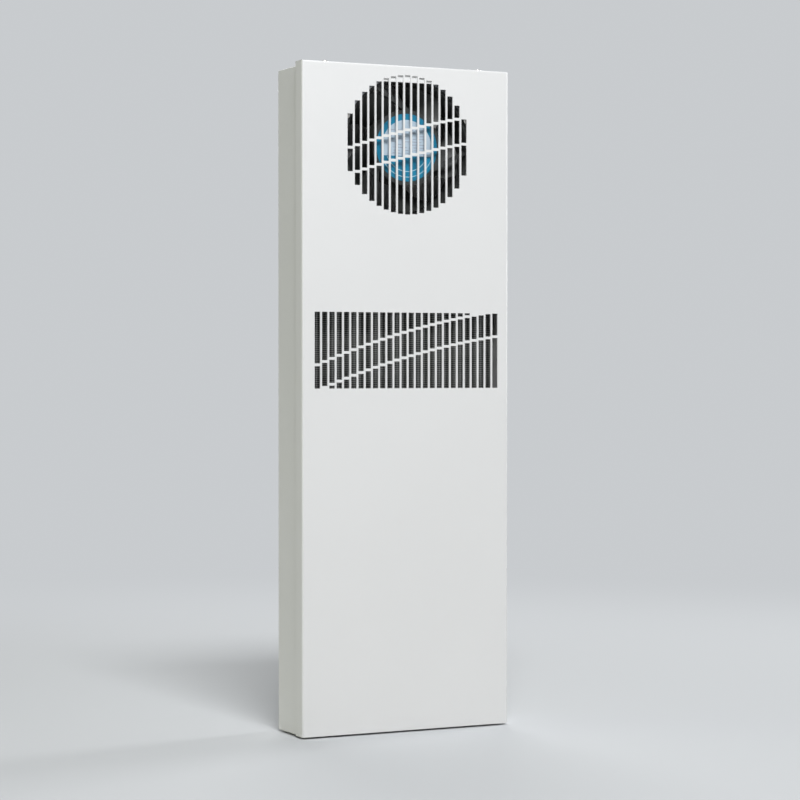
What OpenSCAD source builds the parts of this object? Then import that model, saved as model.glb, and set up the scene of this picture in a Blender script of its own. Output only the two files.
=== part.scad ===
// Slim air-to-air heat exchanger for an enclosure wall, millimetres
// X runs to the right seen from the front, Y towards the wall, Z up
// The origin is at the middle of the rear mounting plane

/* [Overall size] */
// Height of the front cover
unit_h = 737; // [620:1:880]
// Width of the front cover
unit_w = 254; // [215:1:300]
// Depth from the mounting plane to the cover's front face
unit_d = 72; // [62:0.5:86]
// Thickness of the housing and cover sheet
sheet_t = 1.5; // [1.2:0.1:1.8]
// Outer radius of the sheet bends
bend_r = 2.5; // [2:0.1:3.5]

/* [Cover] */
// Depth of the cover's side and top flanges
flange_d = 18; // [17:0.5:24]
// Gap between each side flange and the housing
flange_gap = 0.5; // [0.3:0.1:1]
// Inset of the housing's top from the cover's top
top_inset = 4.3; // [3.6:0.1:5.5]

/* [Grilles] */
// Pitch of the grille slots
slot_pitch = 8.78; // [7.5:0.01:10.4]
// Width of one grille slot
slot_w = 5.8; // [5:0.1:6.4]
// Overlap of the round grille past the fan's throat
grille_over = 3.8; // [2:0.1:4.5]
// Distance from the rectangular grille to the cover's side edges
rect_grille_side = 14; // [13:0.5:40]
// Height of the rectangular grille
rect_grille_h = 83.8; // [70:0.1:99]
// Height of the curved webs left across the slots
web_h = 3; // [2.4:0.1:4]
// Radius of the curved webs
web_r = 940; // [800:5:1200]
// Rise angle of the webs at the middle of the cover
web_rise = 15.2; // [10:0.1:16]

/* [Fans] */
// Radius of the air throat of a fan frame
throat_r = 73.2; // [62:0.1:80]
// Depth of a fan frame
fan_d = 38; // [32:0.5:44]
// Gap between the blade tips and the throat
tip_gap = 1.7; // [1.2:0.1:3]
// Radius of a fan's rotor cup
cup_r = 38; // [32:0.5:44]
// Number of blades on an impeller
blade_count = 5; // [3:1:6]

/* [Core] */
// Height of the finned core
core_h = 181; // [150:1:215]
// Distance from the cover's front face to the core's front face
core_setback = 17; // [15:0.5:20]
// Pitch of the core's folds
fin_pitch = 6.6; // [5.5:0.1:8]
// Thickness of the core's folded sheet
fin_t = 0.5; // [0.3:0.1:0.8]

/* [Mounting] */
// Distance from the gasket to the axes of the mounting nuts
nut_gasket_gap = 4; // [3.5:0.5:8]
// End inset of the mounting nuts from the cover's edge
nut_end_inset = 23.5; // [20:0.5:28]
// Thread radius of the mounting nuts
nut_bore_r = 3; // [2.5:0.5:3.5]
// Thickness of the rear gasket
gasket_t = 5; // [4.5:0.5:8]

/* [Hidden] */
$fn = 96;

// Shared small sizes
cut = 1;
seat_gap = 0.3;
fit_gap = 0.05;

// Housing, worked out from the cover
half_h = unit_h / 2;
body_half_w = unit_w / 2 - sheet_t - flange_gap;
body_in_x = body_half_w - sheet_t;
body_top = half_h - top_inset;
body_bottom = -half_h;
body_in_top = body_top - sheet_t;
body_in_bottom = body_bottom + sheet_t;
cover_in_y = -unit_d + sheet_t;
body_front_y = cover_in_y + seat_gap;
lip_rear_y = body_front_y + sheet_t;
side_lip_w = 6;
top_lip_h = 14;
inner_bend_r = bend_r - sheet_t;

// Screws and nuts of the M4 size
m4_r = 2;
m4_hole_gap = 0.25;
m4_hole_r = m4_r + m4_hole_gap;
m4_nut_bore_r = m4_r + fit_gap;
m4_head_over = 2;
m4_head_r = m4_r + m4_head_over;
m4_head_h = 2.2;
m4_nut_wall = 0.85;
m4_nut_shank_r = m4_nut_bore_r + m4_nut_wall;
m4_nut_rim = 0.7;
m4_nut_r = m4_nut_shank_r + m4_nut_rim;
m4_nut_h = 3.2;
m4_hex_wall = 1.99;
fan_nut_r = m4_nut_bore_r + m4_hex_wall;
m4_drive_r = 1.6;
m4_drive_d = 1.3;
m4_drive_w = 0.8;
m4_crown_share = 0.8;
m4_rim_share = 0.55;

// Fan radii, worked out from the throat
barrel_wall = 2.8;
flat_wall = 2.1;
ear_gap = 0.96;
ear_edge = 5;
barrel_r = throat_r + barrel_wall;
fan_flat = throat_r + flat_wall;
blade_tip_r = throat_r - tip_gap;
ear_r = barrel_r + fan_nut_r + ear_gap;
fan_r = ear_r + ear_edge;

// Levels, from the top of the cover down to the core's bottom, then from its bottom up
fan_top_gap = 14.7;
fan_shift_x = 2.5;
ambient_z = half_h - fan_top_gap - fan_flat;
grille_lift = 2.5;
round_grille_r = throat_r + grille_over;
round_grille_z = ambient_z + grille_lift;
grille_shift_x = 0.7;
core_fan_gap = 17.2;
core_top = ambient_z - fan_flat - core_fan_gap;
core_bottom = core_top - core_h;
grille_sill = 6.5;
rect_grille_z = core_bottom + grille_sill + rect_grille_h / 2;
rect_grille_w = unit_w - 2 * rect_grille_side;
rect_slots = floor((rect_grille_w + slot_pitch - slot_w) / slot_pitch);
chamber_floor_gap = 30;
enclosure_z = -half_h + chamber_floor_gap + fan_flat;

// Web heights where they cross the cover's middle, from each grille's centre
round_webs = [16.5, -12.7];
rect_webs = [21, -7.2];
least_slot_h = 1.2;

// Gasket
gasket_w = 8;
gasket_inset = 3;

// Mounting nuts
nut_x = body_half_w - gasket_inset - gasket_w - nut_gasket_gap;
nut_z = half_h - nut_end_inset;
mid_nut_drop = 25;
mid_nut_z = core_bottom - mid_nut_drop;
nut_wall = 1.35;
nut_shank_r = nut_bore_r + nut_wall;
nut_rim = 1.15;
nut_body_r = nut_shank_r + nut_rim;
nut_body_l = 4.5;

// Cover fixings
cover_screw_inset = 32;
cover_screw_x = unit_w / 2 - cover_screw_inset;
top_screw_setback = 12.5;
lug_w = 24;
lug_h = 22;
lug_edge = 0.8;
cover_screw_l = 10;
top_seal_w = 5;
top_seal_inset = 3;
top_seal_side_inset = 2.5;

// Rails and panels
rail_t = 1.5;
rail_wide = 11.5;
rail_deep = 15;
panel_t = 1.5;
panel_side_gap = 0.6;
panel_x = body_half_w - side_lip_w - panel_side_gap;
plate_lip_gap = 1.4;
plate_front_y = lip_rear_y + plate_lip_gap;
plate_rear_y = plate_front_y + panel_t;
plate_top_gap = 1.7;
plate_top = body_in_top - plate_top_gap;
plate_hole_over = 4.8;
plate_hole_r = throat_r + plate_hole_over;
plate_step_gap = 1;
plate_foot_over = 2.7;
core_front_y = -unit_d + core_setback;
panel_rear_y = core_front_y - seat_gap;
panel_front_y = panel_rear_y - panel_t;
lug_end_y = panel_front_y - seat_gap;
lug_screw_y = lug_end_y - lug_edge - m4_nut_r;
panel_foot_d = 12;
panel_screw_x = panel_x - m4_head_r - seat_gap;
panel_screw_inset = 26;
panel_screw_l = 8;
panel_screw_rows = 3;
plate_screw_inset = 14;
top_rail_end = 8;

// Core
core_margin = 9;
core_rear_gap = 0.5;
core_rear_y = -sheet_t - core_rear_gap;
fold_w = fin_pitch / 2;
fold_count = 2 * floor((body_in_x - core_margin) / fold_w - 1 / 2) + 1;
core_half_w = fold_count * fold_w / 2;
side_plate_t = 1.5;
side_plate_in_x = core_half_w + fin_t / 2 + seat_gap;
side_plate_out_x = side_plate_in_x + side_plate_t;
cap_t = 1.5;
cap_side_gap = 0.3;
cap_x = body_in_x - cap_side_gap;
cap_flange_h = 12;

// Rear air openings
inlet_over = 1.8;
inlet_r = throat_r + inlet_over;
outlet_side_margin = 9;
outlet_drop = 4;
outlet_h = 32;
outlet_corner_r = 4;

// Fan parts, measured along the axis from the fan's rear face
flange_t = 4;
throat_flare = 1.4;
ear_angle = 24;
ring_turn_angle = 45;
base_over = 4;
base_r = cup_r + base_over;
base_t = 4;
strut_w = 5;
strut_t = 3.5;
strut_inset = 7;
strut_tangent_r = base_r - strut_inset;
strut_bite = 2;
strut_reach_r = barrel_r + strut_bite;
strut_angle = 56.5;
strut_count = 3;
bearing_r = 11;
bearing_w = 7;
bearing_front_gap = 3;
bearing_rear_gap = 0.5;
bearing_race_t = 2;
bearing_groove_d = 0.5;
tube_wall = 3;
tube_r = bearing_r + tube_wall;
tube_end_gap = 0.5;
shaft_r = 4;
shaft_clear = 0.05;
shaft_front_gap = 0.8;
clip_t = 1;
clip_r = 6.5;
clip_groove_d = 0.6;
clip_groove_r = shaft_r - clip_groove_d;
clip_mouth = 5;
clip_gap = 0.4;
cup_wall = 3.5;
cup_floor = 2;
cup_rear_gap = 2.5;
cup_front_gap = 2;
boss_r = 9;
boss_h = 4.5;
boss_clear = 0.02;
stator_gap = 1;
stator_r = cup_r - cup_wall - stator_gap;
winding_inset = 2.5;
winding_out_r = stator_r - winding_inset;
winding_tube_gap = 4;
winding_in_r = tube_r + winding_tube_gap;
winding_h = 5;
winding_rear_gap = 3.5;
winding_front_gap = 4;
stator_rear = cup_rear_gap + cup_floor + winding_rear_gap + winding_h;
stator_h = fan_d - base_t - winding_front_gap - winding_h - stator_rear;
hub_wall = 2;
hub_r = cup_r + hub_wall;
hub_clear = 0.05;
hub_front_gap = 3;
hub_rear_gap = 1.5;
blade_front_gap = 1.5;
blade_rear_gap = 4.5;
blade_root_sink = 0.5;
blade_twist_angle = 42;
blade_half_angle = 2;
blade_sweep_angle = 20;
blade_sweep_power = 1.6;
blade_slices = 7;
blade_steps = 5;
label_inset = 4.5;
label_r = base_r - label_inset;
label_t = 0.3;
ambient_rear_y = plate_rear_y + fit_gap + fan_d;
enclosure_rear_y = -sheet_t - seat_gap;
fan_screw_l = 12;

// Finger guard
guard_wire_r = 0.9;
guard_arm_over = 0.1;
guard_arm_r = guard_wire_r + guard_arm_over;
guard_wall_gap = 0.05;
guard_y = guard_wall_gap + guard_arm_r;
guard_rings = 5;
guard_first_r = 17;
guard_edge_gap = 4;
guard_ring_pitch = (inlet_r - guard_edge_gap - guard_first_r) / (guard_rings - 1);
guard_eye_gap = 0.5;
guard_eye_r = m4_r + guard_wire_r + guard_eye_gap;

// Electrical parts in the lower chamber, in a row above the enclosure fan
electrics_gap = 4;
electrics_z = enclosure_z + fan_flat + electrics_gap;
block_ways = 5;
block_pitch = 10;
block_end = 2;
block_w = block_ways * block_pitch + 2 * block_end;
block_h = 24;
block_d = 18;
block_well_r = 3.2;
block_well_d = 6;
block_port_w = 5;
block_port_h = 6;
block_port_d = 8;
bracket_side = 11;
bracket_w = block_w + 2 * bracket_side;
bracket_edge = 3;
bracket_h = block_h + 2 * bracket_edge;
bracket_rise = 11;
bracket_foot = 9;
bracket_t = 1.5;
bracket_wall_gap = 3.5;
terminal_x = body_in_x - bracket_wall_gap - bracket_w / 2;
terminal_z = electrics_z + bracket_h / 2;
first_way_x = terminal_x - (block_ways - 1) / 2 * block_pitch;
block_front_y = -sheet_t - bracket_rise - block_d;
port_y = block_front_y + block_d - bracket_t - block_port_h / 2;
terminal_screw_r = 2.4;
terminal_screw_h = 3;
capacitor_r = 12.5;
capacitor_l = 52;
capacitor_tip_r = 4;
capacitor_tip_l = 5;
capacitor_stand = 0.4;
clip_band_t = 0.8;
clip_band_h = 10;
clip_foot_over = 2;
clip_foot_w = 2 * (capacitor_r + clip_foot_over);
clip_foot_gap = 3;
capacitor_pitch = clip_foot_w + clip_foot_gap;
capacitor_wall_gap = 25.5;
capacitor_x = -body_in_x + capacitor_wall_gap + clip_foot_w / 2;
capacitor_z = electrics_z + capacitor_l / 2;
earth_r = 2.5;
earth_l = 16;
earth_nut_wall = 2.1;
earth_nut_r = earth_r + earth_nut_wall;
earth_nut_h = 4;
earth_rim = 0.9;
earth_washer_r = earth_nut_r + earth_rim;
earth_washer_t = 1;
earth_side_gap = 6.5;
earth_x = capacitor_x + capacitor_pitch + clip_foot_w / 2 + earth_side_gap + earth_washer_r;
grommet_x = 24;
grommet_drop = 48;
grommet_z = core_bottom - grommet_drop;
grommet_r = 13;
grommet_rim = 3;
grommet_waist_r = grommet_r - grommet_rim;
grommet_bore_r = 5.5;
grommet_lip = 2.5;

// Leads from the fans into the terminal block
lead_r = 2;
lead_bend_r = 5;
lead_hole_gap = 0.3;
lead_gap = 0.5;
lead_rise = 6;
lead_insert = 5;
lead_exit_share = 0.31;
lead_x = (side_plate_out_x + cap_x - cap_t) / 2;
lead_y = ambient_rear_y - lead_exit_share * fan_d;
lead_run_z = capacitor_z + capacitor_l / 2 + capacitor_tip_l + lead_gap + lead_r;
lead_turn_z = terminal_z + block_h / 2 + lead_rise + lead_bend_r;
lead_end_z = terminal_z + block_h / 2 - lead_insert;

// A block between two corners
module block(low, high) {
    translate(low) cube([high[0] - low[0], high[1] - low[1], high[2] - low[2]]);
}

// A round rod along Y from y0 to y1
module rod_y(r, y0, y1) {
    translate([0, y1, 0]) rotate([90, 0, 0]) cylinder(r = r, h = y1 - y0);
}

// A rectangle with round corners, from exact squares and circles
module round_rect(low, high, r) {
    translate([low[0] + r, low[1]]) square([high[0] - low[0] - 2 * r, high[1] - low[1]]);
    translate([low[0], low[1] + r]) square([high[0] - low[0], high[1] - low[1] - 2 * r]);
    for (x = [low[0] + r, high[0] - r], y = [low[1] + r, high[1] - r]) {
        translate([x, y]) circle(r = r, $fn = 48);
    }
}

// A block whose long and side edges are all rounded, as bent sheet has
module bent_block(low, high, r) {
    intersection() {
        translate([0, 0, low[2]]) linear_extrude(high[2] - low[2])
            round_rect([low[0], low[1]], [high[0], high[1]], r);
        translate([low[0], 0, 0]) rotate([90, 0, 90]) linear_extrude(high[0] - low[0])
            round_rect([low[1], low[2]], [high[1], high[2]], r);
    }
}

// A pan-head screw along +Z with its head's underside at z = 0 and its shank above
module pan_screw(l) {
    cylinder(r = m4_r, h = l, $fn = 24);
    difference() {
        translate([0, 0, -m4_head_h]) rotate_extrude($fn = 32) polygon([
            [0, 0], [m4_crown_share * m4_head_r, 0], [m4_head_r, (1 - m4_rim_share) * m4_head_h],
            [m4_head_r, m4_head_h], [0, m4_head_h]]);
        for (a = [0, 90]) {
            translate([0, 0, -m4_head_h - cut]) rotate([0, 0, a])
                translate([-m4_drive_r, -m4_drive_w / 2, 0])
                    cube([2 * m4_drive_r, m4_drive_w, m4_drive_d + cut]);
        }
    }
}

// A round clinch nut along +Z with its shank in the sheet below z = 0
module clinch_nut(bore_r, shank_r, body_r, body_l, sheet) {
    difference() {
        union() {
            translate([0, 0, -sheet]) cylinder(r = shank_r, h = sheet + fit_gap, $fn = 32);
            cylinder(r = body_r, h = body_l, $fn = 32);
        }
        translate([0, 0, -sheet - cut]) cylinder(r = bore_r, h = sheet + body_l + 2 * cut, $fn = 32);
    }
}

// Housing

module mounting_points() {
    for (x = [-nut_x, nut_x], z = [-nut_z, mid_nut_z, nut_z]) {
        translate([x, 0, z]) children();
    }
}

module cover_top_screw_points() {
    for (x = [-cover_screw_x, cover_screw_x]) {
        translate([x, -unit_d + top_screw_setback, 0]) children();
    }
}

module cover_lug_screw_points() {
    for (x = [-cover_screw_x, cover_screw_x]) {
        translate([x, lug_screw_y, 0]) children();
    }
}

module ear_points() {
    for (side = [0, 180], a = [-ear_angle, ear_angle]) {
        rotate([0, 0, side + a]) translate([ear_r, 0, 0]) children();
    }
}

module at_enclosure_fan() {
    translate([fan_shift_x, enclosure_rear_y, enclosure_z]) rotate([90, 0, 0]) children();
}

module at_ambient_fan() {
    translate([fan_shift_x, ambient_rear_y, ambient_z]) rotate([90, 0, 0]) children();
}

// The whole folded tray, before it is divided into its walls
module housing_tray() {
    difference() {
        bent_block([-body_half_w, body_front_y, body_bottom], [body_half_w, 0, body_top], bend_r);
        bent_block([-body_in_x, lip_rear_y, body_in_bottom], [body_in_x, -sheet_t, body_in_top],
            inner_bend_r);
        block([-body_half_w + side_lip_w, body_front_y - cut, body_in_bottom],
            [body_half_w - side_lip_w, lip_rear_y + cut, body_top - top_lip_h]);
        translate([fan_shift_x, 0, enclosure_z]) rod_y(inlet_r, -sheet_t - cut, cut);
        translate([0, cut, 0]) rotate([90, 0, 0]) linear_extrude(sheet_t + 2 * cut)
            round_rect([-core_half_w + outlet_side_margin, core_top - outlet_drop - outlet_h],
                [core_half_w - outlet_side_margin, core_top - outlet_drop], outlet_corner_r);
        mounting_points() rod_y(nut_shank_r + fit_gap, -sheet_t - cut, cut);
        at_enclosure_fan() ear_points()
            translate([0, 0, -sheet_t - 2 * cut]) cylinder(r = m4_hole_r, h = sheet_t + 3 * cut);
        translate([grommet_x, 0, grommet_z]) rod_y(grommet_waist_r + fit_gap, -sheet_t - cut, cut);
        translate([earth_x, 0, terminal_z]) rod_y(earth_r + fit_gap, -sheet_t - cut, cut);
        cover_top_screw_points() translate([0, 0, body_in_top - cut])
            cylinder(r = m4_nut_shank_r + fit_gap, h = sheet_t + 2 * cut, $fn = 32);
        cover_lug_screw_points() translate([0, 0, body_bottom - cut])
            cylinder(r = m4_hole_r, h = sheet_t + 2 * cut, $fn = 32);
    }
}

// The stretch of the tray between the levels low and high, from its bent rear edges forward
module tray_walls(low, high) {
    color("gainsboro") intersection() {
        housing_tray();
        block([-unit_w, -unit_d, low], [unit_w, -bend_r, high]);
    }
}

// The rear wall, with the bends that its side and end walls are welded to
module rear_housing() {
    color("gainsboro") intersection() {
        housing_tray();
        block([-unit_w, -bend_r, -unit_h], [unit_w, cut, unit_h]);
    }
}

module housing_sides() {
    tray_walls(body_bottom + bend_r, body_top - top_lip_h);
}

module housing_top() {
    tray_walls(body_top - top_lip_h, unit_h);
}

module housing_bottom() {
    tray_walls(-unit_h, body_bottom + bend_r);
}

module rear_gasket() {
    color("dimgray") difference() {
        block([-body_half_w + gasket_inset, 0, body_bottom + gasket_inset],
            [body_half_w - gasket_inset, gasket_t, body_top - gasket_inset]);
        block([-body_half_w + gasket_inset + gasket_w, -cut, body_bottom + gasket_inset + gasket_w],
            [body_half_w - gasket_inset - gasket_w, gasket_t + cut,
                body_top - gasket_inset - gasket_w]);
    }
}

module mounting_nuts() {
    color("silver") mounting_points() translate([0, -sheet_t, 0]) rotate([90, 0, 0])
        clinch_nut(nut_bore_r, nut_shank_r, nut_body_r, nut_body_l, sheet_t);
}

module finger_guard() {
    color("silver") translate([fan_shift_x, guard_y, enclosure_z]) rotate([90, 0, 0]) {
        for (i = [0 : guard_rings - 1]) {
            rotate_extrude() translate([guard_first_r + i * guard_ring_pitch, 0])
                circle(r = guard_wire_r, $fn = 16);
        }
        for (side = [0, 180], a = [-ear_angle, ear_angle]) rotate([0, 0, side + a]) {
            translate([guard_first_r, 0, 0]) rotate([0, 90, 0])
                cylinder(r = guard_arm_r, h = ear_r - guard_eye_r - guard_first_r, $fn = 16);
            translate([ear_r, 0, 0]) rotate_extrude($fn = 48) translate([guard_eye_r, 0])
                circle(r = guard_wire_r, $fn = 16);
        }
    }
}

// Cover

// Height of a curved web above a grille's centre at the distance x from the middle
function web_height(x, middle) =
    middle + sqrt(pow(web_r, 2) - pow(x - web_r * sin(web_rise), 2)) - web_r * cos(web_rise);

// One slot of a grille, open from z0 to z1 but for the webs that cross it
module slot(x, centre_z, z0, z1, webs) {
    upper = centre_z + web_height(x, webs[0]);
    lower = centre_z + web_height(x, webs[1]);
    spans = [[z0, min(z1, lower - web_h / 2)],
        [max(z0, lower + web_h / 2), min(z1, upper - web_h / 2)],
        [max(z0, upper + web_h / 2), z1]];
    for (span = spans) {
        if (span[1] - span[0] > least_slot_h) {
            block([x - slot_w / 2, -unit_d - cut, span[0]], [x + slot_w / 2, cover_in_y + cut, span[1]]);
        }
    }
}

module round_grille_slots() {
    count = floor((round_grille_r - slot_w / 2) / slot_pitch);
    for (i = [-count : count]) {
        half = sqrt(pow(round_grille_r, 2) - pow(i * slot_pitch, 2));
        slot(grille_shift_x + i * slot_pitch, round_grille_z, round_grille_z - half,
            round_grille_z + half, round_webs);
    }
}

module rect_grille_slots() {
    for (i = [0 : rect_slots - 1]) {
        slot(grille_shift_x + (i - (rect_slots - 1) / 2) * slot_pitch, rect_grille_z,
            rect_grille_z - rect_grille_h / 2, rect_grille_z + rect_grille_h / 2, rect_webs);
    }
}

module front_cover() {
    color("whitesmoke") difference() {
        bent_block([-unit_w / 2, -unit_d, -half_h - bend_r], [unit_w / 2, bend_r, half_h], bend_r);
        bent_block([-unit_w / 2 + sheet_t, cover_in_y, -half_h - 2 * bend_r],
            [unit_w / 2 - sheet_t, 2 * bend_r, half_h - sheet_t], inner_bend_r);
        block([-unit_w, -unit_d + flange_d, -unit_h], [unit_w, unit_d, unit_h]);
        block([-unit_w, -2 * unit_d, -unit_h], [unit_w, unit_d, -half_h]);
        round_grille_slots();
        rect_grille_slots();
        cover_top_screw_points() translate([0, 0, half_h - sheet_t - cut])
            cylinder(r = m4_hole_r, h = sheet_t + 2 * cut, $fn = 32);
    }
}

module cover_top_seal() {
    color("dimgray") block([-body_half_w + top_seal_side_inset, body_front_y + top_seal_inset, body_top],
        [body_half_w - top_seal_side_inset, body_front_y + top_seal_inset + top_seal_w,
            half_h - sheet_t]);
}

module cover_lugs() {
    lug_z = body_in_bottom + seat_gap;
    color("silver") difference() {
        for (x = [-cover_screw_x, cover_screw_x]) {
            block([x - lug_w / 2, cover_in_y, lug_z], [x + lug_w / 2, cover_in_y + sheet_t, lug_z + lug_h]);
            block([x - lug_w / 2, cover_in_y, lug_z], [x + lug_w / 2, lug_end_y, lug_z + sheet_t]);
        }
        cover_lug_screw_points() translate([0, 0, lug_z - cut])
            cylinder(r = m4_nut_shank_r + fit_gap, h = sheet_t + 2 * cut, $fn = 32);
    }
}

module cover_nuts() {
    color("silver") {
        cover_lug_screw_points() translate([0, 0, body_in_bottom + seat_gap + sheet_t])
            clinch_nut(m4_nut_bore_r, m4_nut_shank_r, m4_nut_r, m4_nut_h, sheet_t);
        cover_top_screw_points() translate([0, 0, body_in_top]) mirror([0, 0, 1])
            clinch_nut(m4_nut_bore_r, m4_nut_shank_r, m4_nut_r, m4_nut_h, sheet_t);
    }
}

module cover_screws() {
    color("lightgray") {
        cover_lug_screw_points() translate([0, 0, body_bottom]) pan_screw(cover_screw_l);
        cover_top_screw_points() translate([0, 0, half_h]) mirror([0, 0, 1])
            pan_screw(cover_screw_l);
    }
}

// Rails and inner panels

module rail(side, face_y, z0, z1) {
    mirror([side, 0, 0]) {
        block([body_in_x - rail_t, face_y, z0], [body_in_x, face_y + rail_deep, z1]);
        block([body_in_x - rail_wide, face_y, z0], [body_in_x, face_y + rail_t, z1]);
    }
}

function chamber_rail_z() = [body_in_bottom + seat_gap, core_bottom - cap_t - cap_flange_h - seat_gap];
function plate_rail_z() = [core_top + cap_t + cap_flange_h + seat_gap, plate_top - top_rail_end];

// Screw heights along a rail, spread evenly between its insets
function rail_rows(z, inset, rows) =
    [for (i = [0 : rows - 1]) z[0] + inset + i * (z[1] - z[0] - 2 * inset) / (rows - 1)];

module rail_screw_points(z, inset, rows) {
    for (x = [-panel_screw_x, panel_screw_x], row = rail_rows(z, inset, rows)) {
        translate([x, 0, row]) children();
    }
}

module plate_screw_points() {
    rail_screw_points(plate_rail_z(), plate_screw_inset, panel_screw_rows) children();
}

module chamber_screw_points() {
    rail_screw_points(chamber_rail_z(), panel_screw_inset, panel_screw_rows) children();
}

module panel_rails() {
    upper = plate_rail_z();
    lower = chamber_rail_z();
    color("silver") difference() {
        for (side = [0, 1]) {
            rail(side, plate_rear_y + seat_gap, upper[0], upper[1]);
            rail(side, core_front_y, lower[0], lower[1]);
        }
        plate_screw_points() rod_y(m4_nut_bore_r, plate_rear_y, plate_rear_y + seat_gap + rail_t + cut);
        chamber_screw_points() rod_y(m4_nut_bore_r, panel_rear_y, core_front_y + rail_t + cut);
    }
}

module ambient_fan_plate() {
    step_z = core_top + cap_t + plate_step_gap;
    foot_z = rect_grille_z + rect_grille_h / 2 + plate_foot_over;
    color("gainsboro") difference() {
        union() {
            block([-panel_x, plate_front_y, step_z], [panel_x, plate_rear_y, plate_top]);
            block([-panel_x, plate_front_y, step_z], [panel_x, panel_rear_y, step_z + panel_t]);
            block([-panel_x, panel_front_y, foot_z], [panel_x, panel_rear_y, step_z + panel_t]);
            block([-panel_x, cover_in_y + seat_gap, foot_z], [panel_x, panel_rear_y, foot_z + panel_t]);
        }
        translate([fan_shift_x, 0, ambient_z]) rod_y(plate_hole_r, plate_front_y - cut, plate_rear_y + cut);
        plate_screw_points() rod_y(m4_hole_r, plate_front_y - cut, plate_rear_y + cut);
        at_ambient_fan() ear_points() translate([0, 0, fan_d - cut])
            cylinder(r = m4_hole_r, h = panel_t + 2 * cut, $fn = 32);
    }
}

module fan_plate_screws() {
    color("lightgray") plate_screw_points() translate([0, plate_front_y, 0]) rotate([-90, 0, 0])
        pan_screw(panel_screw_l);
}

module chamber_panel() {
    low = body_in_bottom + seat_gap;
    color("gainsboro") difference() {
        union() {
            block([-panel_x, panel_front_y, low], [panel_x, panel_rear_y, core_bottom]);
            block([-panel_x + rail_wide, panel_front_y, low],
                [panel_x - rail_wide, panel_rear_y + panel_foot_d, low + panel_t]);
        }
        chamber_screw_points() rod_y(m4_hole_r, panel_front_y - cut, panel_rear_y + cut);
    }
}

module chamber_panel_screws() {
    color("lightgray") chamber_screw_points() translate([0, panel_front_y, 0]) rotate([-90, 0, 0])
        pan_screw(panel_screw_l);
}

// Core

// X of the k-th wall of the folded sheet
function wall_x(k) = -core_half_w + k * fold_w;

// Corners of the folded sheet's rear side, then of its front side
rear_side = [for (k = [0 : fold_count - 1]) for (end = [0, 1])
    let (out = k % 2 == 0 ? 1 : -1)
    [wall_x(k + end) + (end == 0 ? -out : out) * fin_t / 2,
        k % 2 == 0 ? core_rear_y : core_front_y + fin_t]];
front_side = [for (k = [0 : fold_count - 1]) for (end = [0, 1])
    let (out = k % 2 == 0 ? -1 : 1)
    [wall_x(k + end) + (end == 0 ? -out : out) * fin_t / 2,
        k % 2 == 0 ? core_rear_y - fin_t : core_front_y]];

module core_fins() {
    first = [[wall_x(0) + fin_t / 2, core_front_y], [wall_x(0) - fin_t / 2, core_front_y]];
    last = [[wall_x(fold_count) + fin_t / 2, core_front_y],
        [wall_x(fold_count) - fin_t / 2, core_front_y]];
    back = [for (i = [len(front_side) - 1 : -1 : 0]) front_side[i]];
    color("darkgray") translate([0, 0, core_bottom]) linear_extrude(core_h)
        polygon(concat(first, rear_side, last, back));
}

module core_side_plates() {
    color("silver") for (side = [0, 1]) mirror([side, 0, 0])
        block([side_plate_in_x, core_front_y, core_bottom],
            [side_plate_out_x, core_rear_y, core_top]);
}

// A cap across the core's end, with a slot over every second channel
module core_cap(z, first, flange) {
    difference() {
        union() {
            block([-cap_x, panel_rear_y, z], [cap_x, core_rear_y, z + cap_t]);
            for (side = [0, 1]) mirror([side, 0, 0])
                block([cap_x - cap_t, panel_rear_y, min(z, z + flange)],
                    [cap_x, core_rear_y, max(z + cap_t, z + cap_t + flange)]);
        }
        for (k = [first : 2 : fold_count - 1]) {
            block([wall_x(k) + fin_t / 2, core_front_y + fin_t, z - cut],
                [wall_x(k + 1) - fin_t / 2, core_rear_y - fin_t, z + cap_t + cut]);
        }
        translate([-lead_x, lead_y, z - cut])
            cylinder(r = lead_r + lead_hole_gap, h = cap_t + 2 * cut, $fn = 24);
    }
}

module core_top_cap() {
    color("silver") core_cap(core_top, 0, cap_flange_h);
}

module core_bottom_cap() {
    color("silver") core_cap(core_bottom - cap_t, 1, -cap_flange_h);
}

// Fans, drawn with the axis along +Z and the rear face at z = 0

tube_rear = cup_rear_gap + cup_floor + boss_h + tube_end_gap;
front_bearing_z = fan_d - base_t - bearing_front_gap - bearing_w;
rear_bearing_z = tube_rear + bearing_rear_gap;
clip_z = front_bearing_z + bearing_w + clip_gap;

module fan_frame() {
    color("#2b2c2e") difference() {
        union() {
            intersection() {
                rotate([0, 0, ring_turn_angle]) rotate_extrude() polygon([
                    [throat_r + throat_flare, 0], [fan_r, 0], [fan_r, flange_t],
                    [barrel_r, flange_t], [barrel_r, fan_d - flange_t],
                    [fan_r, fan_d - flange_t], [fan_r, fan_d],
                    [throat_r + throat_flare, fan_d], [throat_r, fan_d - flange_t],
                    [throat_r, flange_t]]);
                block([-fan_r - cut, -fan_flat, -cut], [fan_r + cut, fan_flat, fan_d + cut]);
            }
            for (i = [0 : strut_count - 1]) rotate([0, 0, strut_angle + i * 360 / strut_count])
                block([strut_tangent_r - strut_w / 2, 0, fan_d - strut_t],
                    [strut_tangent_r + strut_w / 2,
                        sqrt(pow(strut_reach_r, 2) - pow(strut_tangent_r + strut_w / 2, 2)), fan_d]);
            translate([0, 0, fan_d - base_t]) cylinder(r = base_r, h = base_t);
            translate([0, 0, tube_rear]) cylinder(r = tube_r, h = fan_d - base_t - tube_rear + fit_gap);
        }
        translate([0, 0, tube_rear - cut])
            cylinder(r = bearing_r + fit_gap, h = fan_d - base_t - tube_rear + cut);
        ear_points() translate([0, 0, -cut]) cylinder(r = m4_hole_r, h = fan_d + 2 * cut, $fn = 32);
    }
}

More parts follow.
